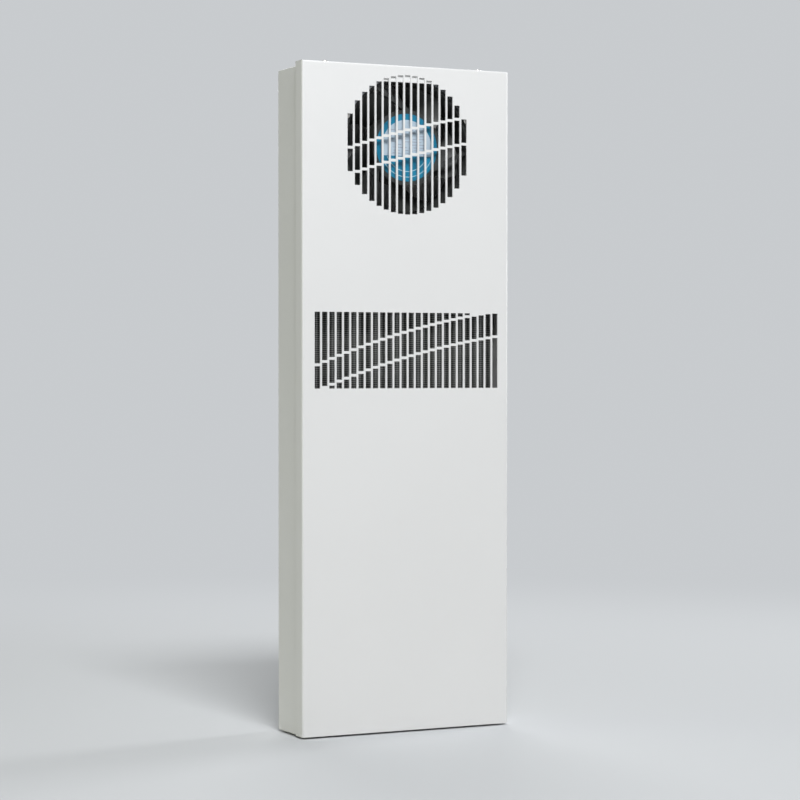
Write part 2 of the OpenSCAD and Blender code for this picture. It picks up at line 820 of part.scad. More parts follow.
module fan_stator() {
    color("peru") rotate_extrude() polygon([
        [winding_in_r, stator_rear - winding_h], [winding_out_r, stator_rear - winding_h],
        [winding_out_r, stator_rear], [stator_r, stator_rear], [stator_r, stator_rear + stator_h],
        [winding_out_r, stator_rear + stator_h], [winding_out_r, stator_rear + stator_h + winding_h],
        [winding_in_r, stator_rear + stator_h + winding_h], [winding_in_r, stator_rear + stator_h],
        [tube_r + fit_gap, stator_rear + stator_h], [tube_r + fit_gap, stator_rear],
        [winding_in_r, stator_rear]]);
}

module fan_bearings() {
    in_r = shaft_r + shaft_clear;
    color("silver") for (z = [front_bearing_z, rear_bearing_z]) translate([0, 0, z])
        rotate_extrude() polygon([
            [in_r, 0], [in_r + bearing_race_t, 0], [in_r + bearing_race_t, bearing_groove_d],
            [bearing_r - bearing_race_t, bearing_groove_d], [bearing_r - bearing_race_t, 0],
            [bearing_r, 0], [bearing_r, bearing_w], [bearing_r - bearing_race_t, bearing_w],
            [bearing_r - bearing_race_t, bearing_w - bearing_groove_d],
            [in_r + bearing_race_t, bearing_w - bearing_groove_d],
            [in_r + bearing_race_t, bearing_w], [in_r, bearing_w]]);
}

module rotor_cup() {
    floor_top = cup_rear_gap + cup_floor;
    color("#3a3b3d") rotate_extrude() polygon([
        [shaft_r + boss_clear, cup_rear_gap], [cup_r, cup_rear_gap],
        [cup_r, fan_d - base_t - cup_front_gap], [cup_r - cup_wall, fan_d - base_t - cup_front_gap],
        [cup_r - cup_wall, floor_top], [boss_r, floor_top], [boss_r, floor_top + boss_h],
        [shaft_r + boss_clear, floor_top + boss_h]]);
}

// Swept outline of a blade across the axis, from hub to tip
function blade_edge(side) = [for (i = [0 : blade_steps])
    let (share = i / blade_steps, r = hub_r - blade_root_sink
        + share * (blade_tip_r - hub_r + blade_root_sink),
        a = blade_sweep_angle * pow(share, blade_sweep_power) + side * blade_half_angle)
    [r * cos(a), r * sin(a)]];

module impeller() {
    color("#1f2022") {
        rotate_extrude() polygon([
            [cup_r + hub_clear, cup_rear_gap + hub_rear_gap], [hub_r, cup_rear_gap + hub_rear_gap],
            [hub_r, fan_d - base_t - hub_front_gap], [cup_r + hub_clear, fan_d - base_t - hub_front_gap]]);
        for (i = [0 : blade_count - 1]) rotate([0, 0, i * 360 / blade_count])
            translate([0, 0, blade_rear_gap])
                linear_extrude(fan_d - strut_t - blade_front_gap - blade_rear_gap,
                    twist = blade_twist_angle, slices = blade_slices, segments = 2 * blade_steps + 2)
                    polygon(concat(blade_edge(-1), [for (i = [blade_steps : -1 : 0]) blade_edge(1)[i]]));
    }
}

module fan_shaft() {
    color("silver") rotate_extrude() polygon([
        [0, cup_rear_gap + seat_gap], [shaft_r, cup_rear_gap + seat_gap], [shaft_r, clip_z - fit_gap],
        [clip_groove_r, clip_z - fit_gap], [clip_groove_r, clip_z + clip_t + fit_gap],
        [shaft_r, clip_z + clip_t + fit_gap], [shaft_r, fan_d - base_t - shaft_front_gap],
        [0, fan_d - base_t - shaft_front_gap]]);
}

module shaft_clip() {
    color("dimgray") translate([0, 0, clip_z]) difference() {
        cylinder(r = clip_r, h = clip_t, $fn = 48);
        translate([0, 0, -cut]) cylinder(r = clip_groove_r + fit_gap, h = clip_t + 2 * cut, $fn = 48);
        block([0, -clip_mouth / 2, -cut], [clip_r + cut, clip_mouth / 2, clip_t + cut]);
    }
}

module fan_label() {
    color("royalblue") translate([0, 0, fan_d]) cylinder(r = label_r, h = label_t);
}

module ambient_fan_frame() { at_ambient_fan() fan_frame(); }
module ambient_fan_stator() { at_ambient_fan() fan_stator(); }
module ambient_fan_bearings() { at_ambient_fan() fan_bearings(); }
module ambient_rotor_cup() { at_ambient_fan() rotor_cup(); }
module ambient_impeller() { at_ambient_fan() impeller(); }
module ambient_fan_shaft() { at_ambient_fan() fan_shaft(); }
module ambient_shaft_clip() { at_ambient_fan() shaft_clip(); }
module ambient_fan_label() { at_ambient_fan() fan_label(); }
module ambient_fan_screws() {
    color("lightgray") at_ambient_fan() ear_points()
        translate([0, 0, fan_d + fit_gap + panel_t]) mirror([0, 0, 1]) pan_screw(fan_screw_l);
}
module enclosure_fan_frame() { at_enclosure_fan() fan_frame(); }
module enclosure_fan_stator() { at_enclosure_fan() fan_stator(); }
module enclosure_fan_bearings() { at_enclosure_fan() fan_bearings(); }
module enclosure_rotor_cup() { at_enclosure_fan() rotor_cup(); }
module enclosure_impeller() { at_enclosure_fan() impeller(); }
module enclosure_fan_shaft() { at_enclosure_fan() fan_shaft(); }
module enclosure_shaft_clip() { at_enclosure_fan() shaft_clip(); }
module enclosure_fan_label() { at_enclosure_fan() fan_label(); }
module enclosure_fan_screws() {
    color("lightgray") translate([fan_shift_x, guard_y + guard_wire_r, enclosure_z])
        rotate([90, 0, 0]) ear_points() pan_screw(fan_screw_l);
}

// Hexagon nuts behind the flange that each fan is screwed through
module fan_nuts(z) {
    ear_points() translate([0, 0, z]) difference() {
        cylinder(r = fan_nut_r, h = m4_nut_h, $fn = 6);
        translate([0, 0, -cut]) cylinder(r = m4_nut_bore_r, h = m4_nut_h + 2 * cut, $fn = 24);
    }
}

module fan_screw_nuts() {
    color("lightgray") {
        at_ambient_fan() fan_nuts(fan_d - flange_t - m4_nut_h);
        at_enclosure_fan() fan_nuts(flange_t);
    }
}

// Electrical parts

module terminal_bracket() {
    inner = -sheet_t;
    color("silver") translate([terminal_x, 0, terminal_z]) {
        block([-bracket_w / 2, inner - bracket_t, -bracket_h / 2],
            [-bracket_w / 2 + bracket_foot, inner, bracket_h / 2]);
        block([bracket_w / 2 - bracket_foot, inner - bracket_t, -bracket_h / 2],
            [bracket_w / 2, inner, bracket_h / 2]);
        for (side = [0, 1]) mirror([side, 0, 0])
            block([bracket_w / 2 - bracket_foot, inner - bracket_rise, -bracket_h / 2],
                [bracket_w / 2 - bracket_foot + bracket_t, inner, bracket_h / 2]);
        block([-bracket_w / 2 + bracket_foot - bracket_t, inner - bracket_rise, -bracket_h / 2],
            [bracket_w / 2 - bracket_foot + bracket_t, inner - bracket_rise + bracket_t, bracket_h / 2]);
    }
}

module terminal_block() {
    color("beige") translate([0, 0, terminal_z]) difference() {
        block([terminal_x - block_w / 2, block_front_y, -block_h / 2],
            [terminal_x + block_w / 2, block_front_y + block_d, block_h / 2]);
        for (i = [0 : block_ways - 1]) translate([first_way_x + i * block_pitch, 0, 0]) {
            rod_y(block_well_r, block_front_y - cut, block_front_y + block_well_d);
            for (side = [0, 1]) mirror([0, 0, side])
                block([-block_port_w / 2, block_front_y + block_d - block_port_h - bracket_t,
                    block_h / 2 - block_port_d],
                    [block_port_w / 2, block_front_y + block_d - bracket_t, block_h / 2 + cut]);
        }
    }
}

module terminal_screws() {
    color("khaki") for (i = [0 : block_ways - 1])
        translate([first_way_x + i * block_pitch, 0, terminal_z])
            rod_y(terminal_screw_r, block_front_y + block_well_d - terminal_screw_h,
                block_front_y + block_well_d);
}

module capacitor_points() {
    for (i = [0, 1]) translate([capacitor_x + i * capacitor_pitch,
        -sheet_t - capacitor_stand - clip_band_t - capacitor_r, capacitor_z]) children();
}

module fan_capacitors() {
    color("lightgray") capacitor_points() {
        translate([0, 0, -capacitor_l / 2]) cylinder(r = capacitor_r, h = capacitor_l);
        translate([0, 0, capacitor_l / 2]) cylinder(r = capacitor_tip_r, h = capacitor_tip_l, $fn = 32);
    }
}

module capacitor_clips() {
    outer = capacitor_r + fit_gap + clip_band_t;
    color("silver") capacitor_points() difference() {
        union() {
            translate([0, 0, -clip_band_h / 2]) cylinder(r = outer, h = clip_band_h);
            block([-clip_foot_w / 2, outer - clip_band_t, -clip_band_h / 2],
                [clip_foot_w / 2, outer + capacitor_stand - fit_gap, clip_band_h / 2]);
        }
        translate([0, 0, -clip_band_h]) cylinder(r = capacitor_r + fit_gap, h = 2 * clip_band_h);
    }
}

module earth_stud() {
    color("gold") translate([earth_x, 0, terminal_z]) {
        rod_y(earth_r, -sheet_t - earth_l, 0);
        rod_y(earth_washer_r, -sheet_t - earth_washer_t, -sheet_t);
        translate([0, -sheet_t - earth_washer_t, 0]) rotate([90, 0, 0])
            cylinder(r = earth_nut_r, h = earth_nut_h, $fn = 6);
    }
}

module cable_grommet() {
    color("#202020") translate([grommet_x, 0, grommet_z]) rotate([90, 0, 0])
        rotate_extrude($fn = 64) polygon([
            [grommet_bore_r, -grommet_lip], [grommet_r, -grommet_lip], [grommet_r, 0],
            [grommet_waist_r, 0], [grommet_waist_r, sheet_t], [grommet_r, sheet_t],
            [grommet_r, sheet_t + grommet_lip], [grommet_bore_r, sheet_t + grommet_lip]]);
}

// A round lead along straight runs with quarter bends between them
module lead(points) {
    n = len(points);
    for (i = [0 : n - 2]) {
        run = points[i + 1] - points[i];
        way = run / norm(run);
        start = points[i] + (i == 0 ? 0 : lead_bend_r) * way;
        length = norm(run) - (i == 0 ? 0 : lead_bend_r) - (i == n - 2 ? 0 : lead_bend_r);
        translate(start) rotate([0, acos(way[2]), atan2(way[1], way[0])])
            cylinder(r = lead_r, h = length, $fn = 24);
    }
    for (i = [1 : n - 2]) {
        u = (points[i] - points[i - 1]) / norm(points[i] - points[i - 1]);
        v = (points[i + 1] - points[i]) / norm(points[i + 1] - points[i]);
        w = cross(u, v);
        c = points[i] + lead_bend_r * (v - u);
        multmatrix([[-v[0], u[0], w[0], c[0]], [-v[1], u[1], w[1], c[1]], [-v[2], u[2], w[2], c[2]]])
            rotate_extrude(angle = 90) translate([lead_bend_r, 0]) circle(r = lead_r, $fn = 24);
    }
}

module ambient_fan_lead() {
    color("#303030") lead([
        [fan_shift_x - barrel_r - fit_gap, lead_y, ambient_z],
        [-lead_x, lead_y, ambient_z],
        [-lead_x, lead_y, lead_run_z],
        [terminal_x, lead_y, lead_run_z],
        [terminal_x, port_y, lead_run_z],
        [terminal_x, port_y, lead_end_z]]);
}

module enclosure_fan_lead() {
    color("#303030") lead([
        [fan_shift_x, port_y, enclosure_z + fan_flat + fit_gap],
        [fan_shift_x, port_y, lead_turn_z],
        [first_way_x, port_y, lead_turn_z],
        [first_way_x, port_y, lead_end_z]]);
}

rear_housing();
housing_sides();
housing_top();
housing_bottom();
rear_gasket();
mounting_nuts();
front_cover();
cover_top_seal();
cover_lugs();
cover_nuts();
cover_screws();
panel_rails();
ambient_fan_plate();
fan_plate_screws();
chamber_panel();
chamber_panel_screws();
core_fins();
core_side_plates();
core_top_cap();
core_bottom_cap();
ambient_fan_frame();
ambient_fan_stator();
ambient_fan_bearings();
ambient_rotor_cup();
ambient_impeller();
ambient_fan_shaft();
ambient_shaft_clip();
ambient_fan_label();
ambient_fan_screws();
enclosure_fan_frame();
enclosure_fan_stator();
enclosure_fan_bearings();
enclosure_rotor_cup();
enclosure_impeller();
enclosure_fan_shaft();
enclosure_shaft_clip();
enclosure_fan_label();
enclosure_fan_screws();
fan_screw_nuts();
finger_guard();
terminal_bracket();
terminal_block();
terminal_screws();
fan_capacitors();
capacitor_clips();
earth_stud();
cable_grommet();
ambient_fan_lead();
enclosure_fan_lead();
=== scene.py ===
"""The looks of a slim wall-mounted air-to-air heat exchanger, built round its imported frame.

The frame holds every piece at its real size and place. This script gives each one its finish and
rounded edges, and models those whose surface the frame leaves plain: impellers, rotor cups, the
rippled core, the finger guard, the capacitors and the screws. Sizes are millimetres unless a name
or a docstring says otherwise. X runs to the right seen from the front, Y towards the wall and Z
up, from the middle of the rear mounting plane.
"""

import logging
import math
from collections.abc import Callable, Iterable, Sequence
from dataclasses import dataclass
from enum import Enum

import bmesh
import bpy
from bmesh.types import BMEdge, BMesh
from bpy.types import Material, Node, NodeSocket, Object
from mathutils import Matrix, Vector


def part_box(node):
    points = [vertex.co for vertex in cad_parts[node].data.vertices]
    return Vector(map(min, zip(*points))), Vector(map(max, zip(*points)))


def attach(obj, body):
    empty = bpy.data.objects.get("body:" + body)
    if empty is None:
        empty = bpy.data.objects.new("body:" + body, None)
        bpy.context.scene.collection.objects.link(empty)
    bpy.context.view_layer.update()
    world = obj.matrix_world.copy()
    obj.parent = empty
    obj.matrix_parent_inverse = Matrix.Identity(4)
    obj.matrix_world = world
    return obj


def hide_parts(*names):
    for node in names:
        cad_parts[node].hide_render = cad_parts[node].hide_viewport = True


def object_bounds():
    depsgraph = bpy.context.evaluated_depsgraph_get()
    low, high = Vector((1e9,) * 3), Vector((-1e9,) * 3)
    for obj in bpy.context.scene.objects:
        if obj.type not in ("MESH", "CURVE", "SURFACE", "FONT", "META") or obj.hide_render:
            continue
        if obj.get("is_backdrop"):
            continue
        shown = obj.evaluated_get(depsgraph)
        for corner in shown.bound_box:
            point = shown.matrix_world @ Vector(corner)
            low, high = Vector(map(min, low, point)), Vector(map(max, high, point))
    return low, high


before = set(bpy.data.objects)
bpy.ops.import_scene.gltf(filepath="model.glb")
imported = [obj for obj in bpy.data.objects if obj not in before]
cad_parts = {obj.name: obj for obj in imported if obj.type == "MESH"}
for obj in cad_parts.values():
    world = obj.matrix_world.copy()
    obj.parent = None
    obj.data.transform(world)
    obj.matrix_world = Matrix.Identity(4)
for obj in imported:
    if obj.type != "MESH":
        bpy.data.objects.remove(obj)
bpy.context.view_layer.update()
log = logging.getLogger("heat_exchanger")

MM = 0.001
# Points nearer than this count as one, in metres, and in millimetres on the lathe
MERGE_GAP = 1e-6
LATHE_GAP = 1e-4
# Digits of a metre that count when boxes are put in order
ORDER_DIGITS = 5
# Faces that turn by less count as one flat face
FLAT_ANGLE = math.radians(0.4)
QUARTER_TURN = math.radians(90)
# Most of a noise texture's values lie between these two
NOISE_LOW = 0.3
NOISE_HIGH = 0.7
# Numbers of the Mix node's colour sockets, which share their names with its others
MIX_FACTOR = 0
MIX_BELOW = 6
MIX_ABOVE = 7
MIX_RESULT = 2
Colour = tuple[float, float, float]
Point = tuple[float, float, float]
Range = tuple[float, float]
Profile = Sequence[tuple[float, float]]
Value = float | Sequence[float] | NodeSocket


class Body(Enum):
    """Bodies of the frame that a piece can ride on."""

    HOUSING = "housing"
    AMBIENT_ROTOR = "ambient_rotor"
    ENCLOSURE_ROTOR = "enclosure_rotor"


class Slot(Enum):
    """Material slots of the record."""

    WHITE_COAT = "white_coat"
    ZINC_SHEET = "zinc_sheet"
    FIN_SHEET = "fin_sheet"
    FAN_CASTING = "fan_casting"
    IMPELLER = "impeller_plastic"
    ROTOR_STEEL = "rotor_steel"
    WINDING = "winding"
    BEARING_STEEL = "bearing_steel"
    ZINC_STEEL = "zinc_steel"
    LABEL = "label_print"
    FOAM = "foam"
    RUBBER = "black_rubber"
    TERMINAL_PLASTIC = "terminal_plastic"
    TERMINAL_BRASS = "terminal_brass"
    CAPACITOR_CAN = "capacitor_can"
    LEAD_JACKET = "lead_jacket"


class Join(Enum):
    """Ways to join two meshes."""

    WELD = "UNION"
    CUT = "DIFFERENCE"


class Cell(Enum):
    """What a pattern of cells gives: a random value in each, or the way to its middle."""

    TONE = "Color"
    DISTANCE = "Distance"


@dataclass(frozen=True)
class Grain:
    """A layer of smooth noise: its grain in millimetres, its finer layers and its stretch."""

    size: float
    detail: float = 2.0
    stretch: Point | None = None


class Graph:
    """Node tree of one material, which ends in a Principled shader."""

    def __init__(self, name: str) -> None:
        """Start the material with its shader, its output and its object coordinates.

        Args:
            name: Name of the new material.
        """
        self.material = bpy.data.materials.new(name)
        self.material.use_nodes = True
        self.tree = self.material.node_tree
        self.tree.nodes.clear()
        self.shader = self.node("ShaderNodeBsdfPrincipled")
        self.output = self.node("ShaderNodeOutputMaterial")
        self.feed(self.output.inputs["Surface"], self.shader.outputs["BSDF"])
        self.place = self.node("ShaderNodeTexCoord").outputs["Object"]

    def node(self, kind: str, inputs: dict[str | int, Value] | None = None,
             **settings: str | float) -> Node:
        """Add a node.

        Args:
            kind: Blender's name of the node type.
            inputs: Values or sockets for its inputs, by name or number.
            **settings: Properties of the node.

        Returns:
            The new node.
        """
        node = self.tree.nodes.new(kind)
        for name, value in settings.items():
            setattr(node, name, value)
        for key, value in (inputs or {}).items():
            self.feed(node.inputs[key], value)
        return node

    def feed(self, socket: NodeSocket, value: Value) -> None:
        """Link a socket to an input, or set the input to a plain value.

        Args:
            socket: The input to feed.
            value: A socket, a number or a tuple; a colour gets its alpha here.
        """
        if isinstance(value, NodeSocket):
            self.tree.links.new(value, socket)
        elif socket.type == "RGBA" and len(value) == 3:
            socket.default_value = (*value, 1.0)
        else:
            socket.default_value = value

    def shade(self, **inputs: Value) -> None:
        """Feed the shader, with each input named in lower case with underscores."""
        for name, value in inputs.items():
            self.feed(self.shader.inputs[name.replace("_", " ").title()], value)

    def maths(self, operation: str, *values: Value) -> NodeSocket:
        """Return the result of one Math node."""
        return self.node("ShaderNodeMath", dict(enumerate(values)), operation=operation).outputs[0]

    def stretched(self, scale: Point, shift: Point = (0.0, 0.0, 0.0)) -> NodeSocket:
        """Scale and shift the object coordinates.

        Args:
            scale: Factor along each axis.
            shift: What is added after the scaling.

        Returns:
            The mapped coordinates.
        """
        inputs = {"Vector": self.place, "Scale": scale, "Location": shift}
        return self.node("ShaderNodeMapping", inputs).outputs["Vector"]

    def noise(self, grain: Grain) -> NodeSocket:
        """Return a layer of smooth noise, mostly from NOISE_LOW to NOISE_HIGH."""
        place = self.place if grain.stretch is None else self.stretched(grain.stretch)
        inputs = {"Vector": place, "Scale": 1 / (grain.size * MM), "Detail": grain.detail}
        return self.node("ShaderNodeTexNoise", inputs).outputs[0]

    def cells(self, size: float, output: Cell, place: NodeSocket | None = None) -> NodeSocket:
        """Make a pattern of cells.

        Args:
            size: Size of a cell in millimetres.
            output: What the pattern gives.
            place: Coordinates to read; the object's own if none are given.

        Returns:
            The pattern.
        """
        inputs = {"Vector": place or self.place, "Scale": 1 / (size * MM)}
        return self.node("ShaderNodeTexVoronoi", inputs).outputs[output.value]

    def level(self, value: NodeSocket, low: float, high: float,
              start: float = NOISE_LOW, end: float = NOISE_HIGH) -> NodeSocket:
        """Map a value from one range to another.

        Args:
            value: What is mapped.
            low: Result at the start of the range.
            high: Result at its end.
            start: Where the range starts.
            end: Where it ends.

        Returns:
            The mapped value, held within the result's range.
        """
        inputs = {"Value": value, "From Min": start, "From Max": end, "To Min": low, "To Max": high}
        return self.node("ShaderNodeMapRange", inputs).outputs["Result"]

    def mix(self, factor: Value, below: Value, above: Value) -> NodeSocket:
        """Mix two colours.

        Args:
            factor: Share of the colour above.
            below: Colour at a factor of 0.
            above: Colour at a factor of 1.

        Returns:
            The mixed colour.
        """
        inputs = {MIX_FACTOR: factor, MIX_BELOW: below, MIX_ABOVE: above}
        return self.node("ShaderNodeMix", inputs, data_type="RGBA").outputs[MIX_RESULT]

    def tone(self, factor: NodeSocket, colour: Colour, low: float, high: float) -> NodeSocket:
        """Vary one colour between two brightnesses.

        Args:
            factor: 0 at the low one, 1 at the high one.
            colour: The colour itself.
            low: Least share of it.
            high: Greatest share of it.

        Returns:
            The varied colour.
        """
        return self.mix(factor, shaded(colour, low), shaded(colour, high))

    def bump(self, height: NodeSocket, depth: float, strength: float = 1.0,
             under: NodeSocket | None = None) -> NodeSocket:
        """Turn a height into a surface normal.

        Args:
            height: The height, from 0 to 1.
            depth: How deep that is in millimetres.
            strength: How strongly it shows.
            under: Normal of a coarser bump that this one lies on.

        Returns:
            The normal.
        """
        inputs = {"Height": height, "Distance": depth * MM, "Strength": strength}
        if under is not None:
            inputs["Normal"] = under
        return self.node("ShaderNodeBump", inputs).outputs["Normal"]

    def about(self, centre: Vector) -> tuple[NodeSocket, NodeSocket, NodeSocket]:
        """Measure millimetres from a centre.

        Args:
            centre: The centre, in metres.

        Returns:
            The distance across, the distance up and the radius round the Y axis.
        """
        scale = 1 / MM
        local = self.stretched((scale, scale, scale), tuple(-c * scale for c in centre))
        parts = self.node("ShaderNodeSeparateXYZ", {0: local}).outputs
        squares = [self.maths("MULTIPLY", parts[axis], parts[axis]) for axis in ("X", "Z")]
        return parts["X"], parts["Z"], self.maths("SQRT", self.maths("ADD", *squares))

    def band(self, value: NodeSocket, low: float, high: float) -> NodeSocket:
        """Return 1 where a value lies between two limits, and 0 elsewhere."""
        above = self.maths("GREATER_THAN", value, low)
        return self.maths("MULTIPLY", above, self.maths("LESS_THAN", value, high))

    def along(self, axis: str) -> NodeSocket:
        """Return one of the object coordinates X, Y and Z, in millimetres."""
        parts = self.node("ShaderNodeSeparateXYZ", {0: self.place}).outputs
        return self.maths("MULTIPLY", parts[axis], 1 / MM)

    def ripple(self, value: NodeSocket, pitch: float) -> NodeSocket:
        """Return how far a value lies from the nearest multiple of a pitch."""
        return self.maths("PINGPONG", value, pitch / 2)


def shaded(colour: Colour, share: float) -> Colour:
    """Return a colour at a share of its brightness."""
    return tuple(min(1.0, part * share) for part in colour)


@dataclass(frozen=True)
class Finish:
    """One finish: a material, its record slot, and its colour and roughness."""

    name: str
    slot: Slot
    colour: Colour
    roughness: float

    def paint(self, graph: Graph) -> None:
        """Build the finish in a node tree."""
        raise NotImplementedError

    def material(self) -> Material:
        """Return the finish's material, which its first use builds."""
        found = bpy.data.materials.get(self.name)
        if found is None:
            graph = Graph(self.name)
            self.paint(graph)
            found = graph.material
        return found

    def gloss(self, graph: Graph, value: NodeSocket, change: Range, *span: float) -> NodeSocket:
        """Vary the roughness.

        Args:
            graph: The material's node tree.
            value: What the roughness follows.
            change: What it gains where that value is low and where it is high.
            *span: What counts as low and as high; a noise's usual range if not given.

        Returns:
            The roughness.
        """
        return graph.level(value, *(self.roughness + step for step in change), *span)


@dataclass(frozen=True, kw_only=True)
class GrainedFinish(Finish):
    """A finish whose colour, roughness and relief each follow a layer of noise.

    Where the tint's noise is low and high, the colour has the two shares. Where that of the
    dull patches is low and high, the roughness gains the two changes. An aged colour takes the
    place of the finish's own where the tint's noise is high.
    """

    tint: Grain
    shares: Range
    aged: Colour | None = None
    dull: Grain
    change: Range
    relief: Grain
    depth: float
    strength: float = 0.5
    metallic: float = 0.0

    def paint(self, graph: Graph) -> None:
        """Vary the colour and the roughness, and raise the relief."""
        graph.shade(
            base_color=self.tinted(graph),
            roughness=self.gloss(graph, graph.noise(self.dull), self.change),
            normal=graph.bump(graph.noise(self.relief), self.depth, self.strength),
            metallic=self.metallic,
        )

    def tinted(self, graph: Graph) -> NodeSocket:
        """Return the varied colour."""
        factor = graph.level(graph.noise(self.tint), 0.0, 1.0)
        low, high = self.shares
        return graph.mix(factor, shaded(self.colour, low), shaded(self.aged or self.colour, high))


@dataclass(frozen=True, kw_only=True)
class PowderCoat(GrainedFinish):
    """Baked powder paint: an even colour with a fine orange peel."""

    tint: Grain = Grain(180.0)
    shares: Range = (0.98, 1.0)
    dull: Grain = Grain(60.0, 4.0)
    change: Range = (-0.05, 0.05)
    relief: Grain = Grain(1.3, 3.0)
    depth: float = 0.045


@dataclass(frozen=True, kw_only=True)
class RolledFoil(GrainedFinish):
    """Thin mill-finish aluminium with drawing lines and a dull oxide."""

    tint: Grain = Grain(14.0, 5.0)
    shares: Range = (0.8, 1.05)
    dull: Grain = Grain(14.0, 5.0)
    change: Range = (0.12, -0.06)
    relief: Grain = Grain(0.6, stretch=(1.0, 1.0, 0.05))
    depth: float = 0.02
    strength: float = 0.4
    metallic: float = 0.9


@dataclass(frozen=True, kw_only=True)
class RippledFoil(RolledFoil):
    """Foil with ripples pressed across it, with painted shade in their valleys."""

    low: float
    pitch: float
    # Colour of the painted shade in the ripples' valleys
    valley_shade: Colour = (0.05, 0.05, 0.05)
    # Where the painted shade starts and is full, as shares of the pitch from a ripple's crest
    valley: Range = (0.2, 0.45)

    def tinted(self, graph: Graph) -> NodeSocket:
        """Return the foil's colour with painted shade in the ripples' valleys."""
        wave = graph.ripple(graph.maths("SUBTRACT", graph.along("Z"), self.low), self.pitch)
        span = (share * self.pitch for share in self.valley)
        return graph.mix(graph.level(wave, 0.0, 1.0, *span), super().tinted(graph), self.valley_shade)


@dataclass(frozen=True, kw_only=True)
class CastCoat(GrainedFinish):
    """Black electrocoat over a die casting, which keeps the casting's fine pebble."""

    tint: Grain = Grain(24.0, 3.0)
    shares: Range = (0.75, 1.3)
    dull: Grain = Grain(1.6, 4.0)
    change: Range = (-0.08, 0.1)
    relief: Grain = Grain(1.6, 4.0)
    depth: float = 0.09
    strength: float = 0.6


@dataclass(frozen=True, kw_only=True)
class MouldedPlastic(GrainedFinish):
    """Moulded plastic with a fine spark-eroded grain and faint flow marks."""

    tint: Grain = Grain(18.0, 4.0, (1.0, 0.3, 1.0))
    shares: Range = (0.88, 1.1)
    dull: Grain = Grain(18.0, 4.0, (1.0, 0.3, 1.0))
    change: Range = (-0.07, 0.07)
    relief: Grain = Grain(0.5)
    depth: float = 0.03


@dataclass(frozen=True, kw_only=True)
class SoftJacket(GrainedFinish):
    """Rubber or soft plastic with a faint bloom on it."""

    tint: Grain = Grain(8.0, 5.0)
    shares: Range = (0.8, 1.5)
    dull: Grain = Grain(8.0, 5.0)
    change: Range = (-0.08, 0.08)
    relief: Grain = Grain(0.6)
    depth: float = 0.03


@dataclass(frozen=True, kw_only=True)
class BareMetal(GrainedFinish):
    """Metal without paint, with the marks of how it was worked."""

    change: Range = (-0.06, 0.1)
    depth: float = 0.01
    metallic: float = 1.0


@dataclass(frozen=True, kw_only=True)
class GroundSteel(BareMetal):
    """Bright ground steel with its grinding lines round the Y axis."""

    tint: Grain = Grain(9.0, 3.0)
    shares: Range = (0.9, 1.04)
    dull: Grain = Grain(0.25, stretch=(0.05, 1.0, 0.05))
    relief: Grain = Grain(0.25, stretch=(0.05, 1.0, 0.05))


@dataclass(frozen=True, kw_only=True)
class ZincPlate(BareMetal):
    """Bright zinc plating with the blue and straw tints of its passivation."""

    tint: Grain = Grain(5.0, 4.0)
    shares: Range = (1.0, 1.0)
    aged: Colour = (0.74, 0.70, 0.60)
    dull: Grain = Grain(0.35, stretch=(1.0, 0.2, 0.4))
    change: Range = (-0.06, 0.12)
    relief: Grain = Grain(0.35, stretch=(1.0, 0.2, 0.4))
    depth: float = 0.012
    strength: float = 0.4


@dataclass(frozen=True, kw_only=True)
class YellowBrass(BareMetal):
    """Turned brass, a little tarnished."""

    tint: Grain = Grain(3.0, 5.0)
    shares: Range = (0.7, 1.05)
    dull: Grain = Grain(3.0, 5.0)
    change: Range = (0.15, -0.05)
    relief: Grain = Grain(0.3, stretch=(0.1, 1.0, 0.1))


@dataclass(frozen=True, kw_only=True)
class DrawnCan(BareMetal):
    """Deep-drawn aluminium with its drawing lines along Z."""

    tint: Grain = Grain(0.5, 3.0, (1.0, 1.0, 0.03))
    shares: Range = (0.88, 1.03)
    dull: Grain = Grain(0.5, 3.0, (1.0, 1.0, 0.03))
    relief: Grain = Grain(0.5, 3.0, (1.0, 1.0, 0.03))


@dataclass(frozen=True)
class GalvanisedSheet(Finish):
    """Zinc-coated steel sheet with its spangle and faint rolling lines."""

    spangle: float = 9.0
    # How far the crystals' sides are shaken, as a share of a crystal
    shake: float = 0.35
    # Random values that count as the darkest and the lightest crystal
    tones: Range = (0.2, 0.8)
    shares: Range = (0.82, 1.08)
    change: Range = (-0.1, 0.1)
    lines: Grain = Grain(2.0, stretch=(1.0, 1.0, 0.04))
    depth: float = 0.02
    edge_strength: float = 0.3
    line_strength: float = 0.35

    def paint(self, graph: Graph) -> None:
        """Build the spangle, its edges and the rolling lines."""
        crystal = graph.cells(self.spangle, Cell.TONE, self.warped(graph))
        tint = graph.level(crystal, 0.0, 1.0, *self.tones)
        edges = graph.bump(crystal, self.depth, self.edge_strength)
        graph.shade(
            base_color=graph.tone(tint, self.colour, *self.shares),
            roughness=self.gloss(graph, crystal, self.change, *self.tones),
            normal=graph.bump(graph.noise(self.lines), self.depth, self.line_strength, edges),
            metallic=1.0,
        )

    def warped(self, graph: Graph) -> NodeSocket:
        """Return coordinates that are shaken a little, so that no crystal has straight sides."""
        inputs = {"Vector": graph.place, "Scale": 2 / (self.spangle * MM)}
        shaken = graph.node("ShaderNodeTexNoise", inputs).outputs["Color"]
        step = self.shake * self.spangle * MM
        add = graph.node("ShaderNodeVectorMath", {0: shaken, 1: (step, step, step), 2: graph.place},
                         operation="MULTIPLY_ADD")
        return add.outputs["Vector"]


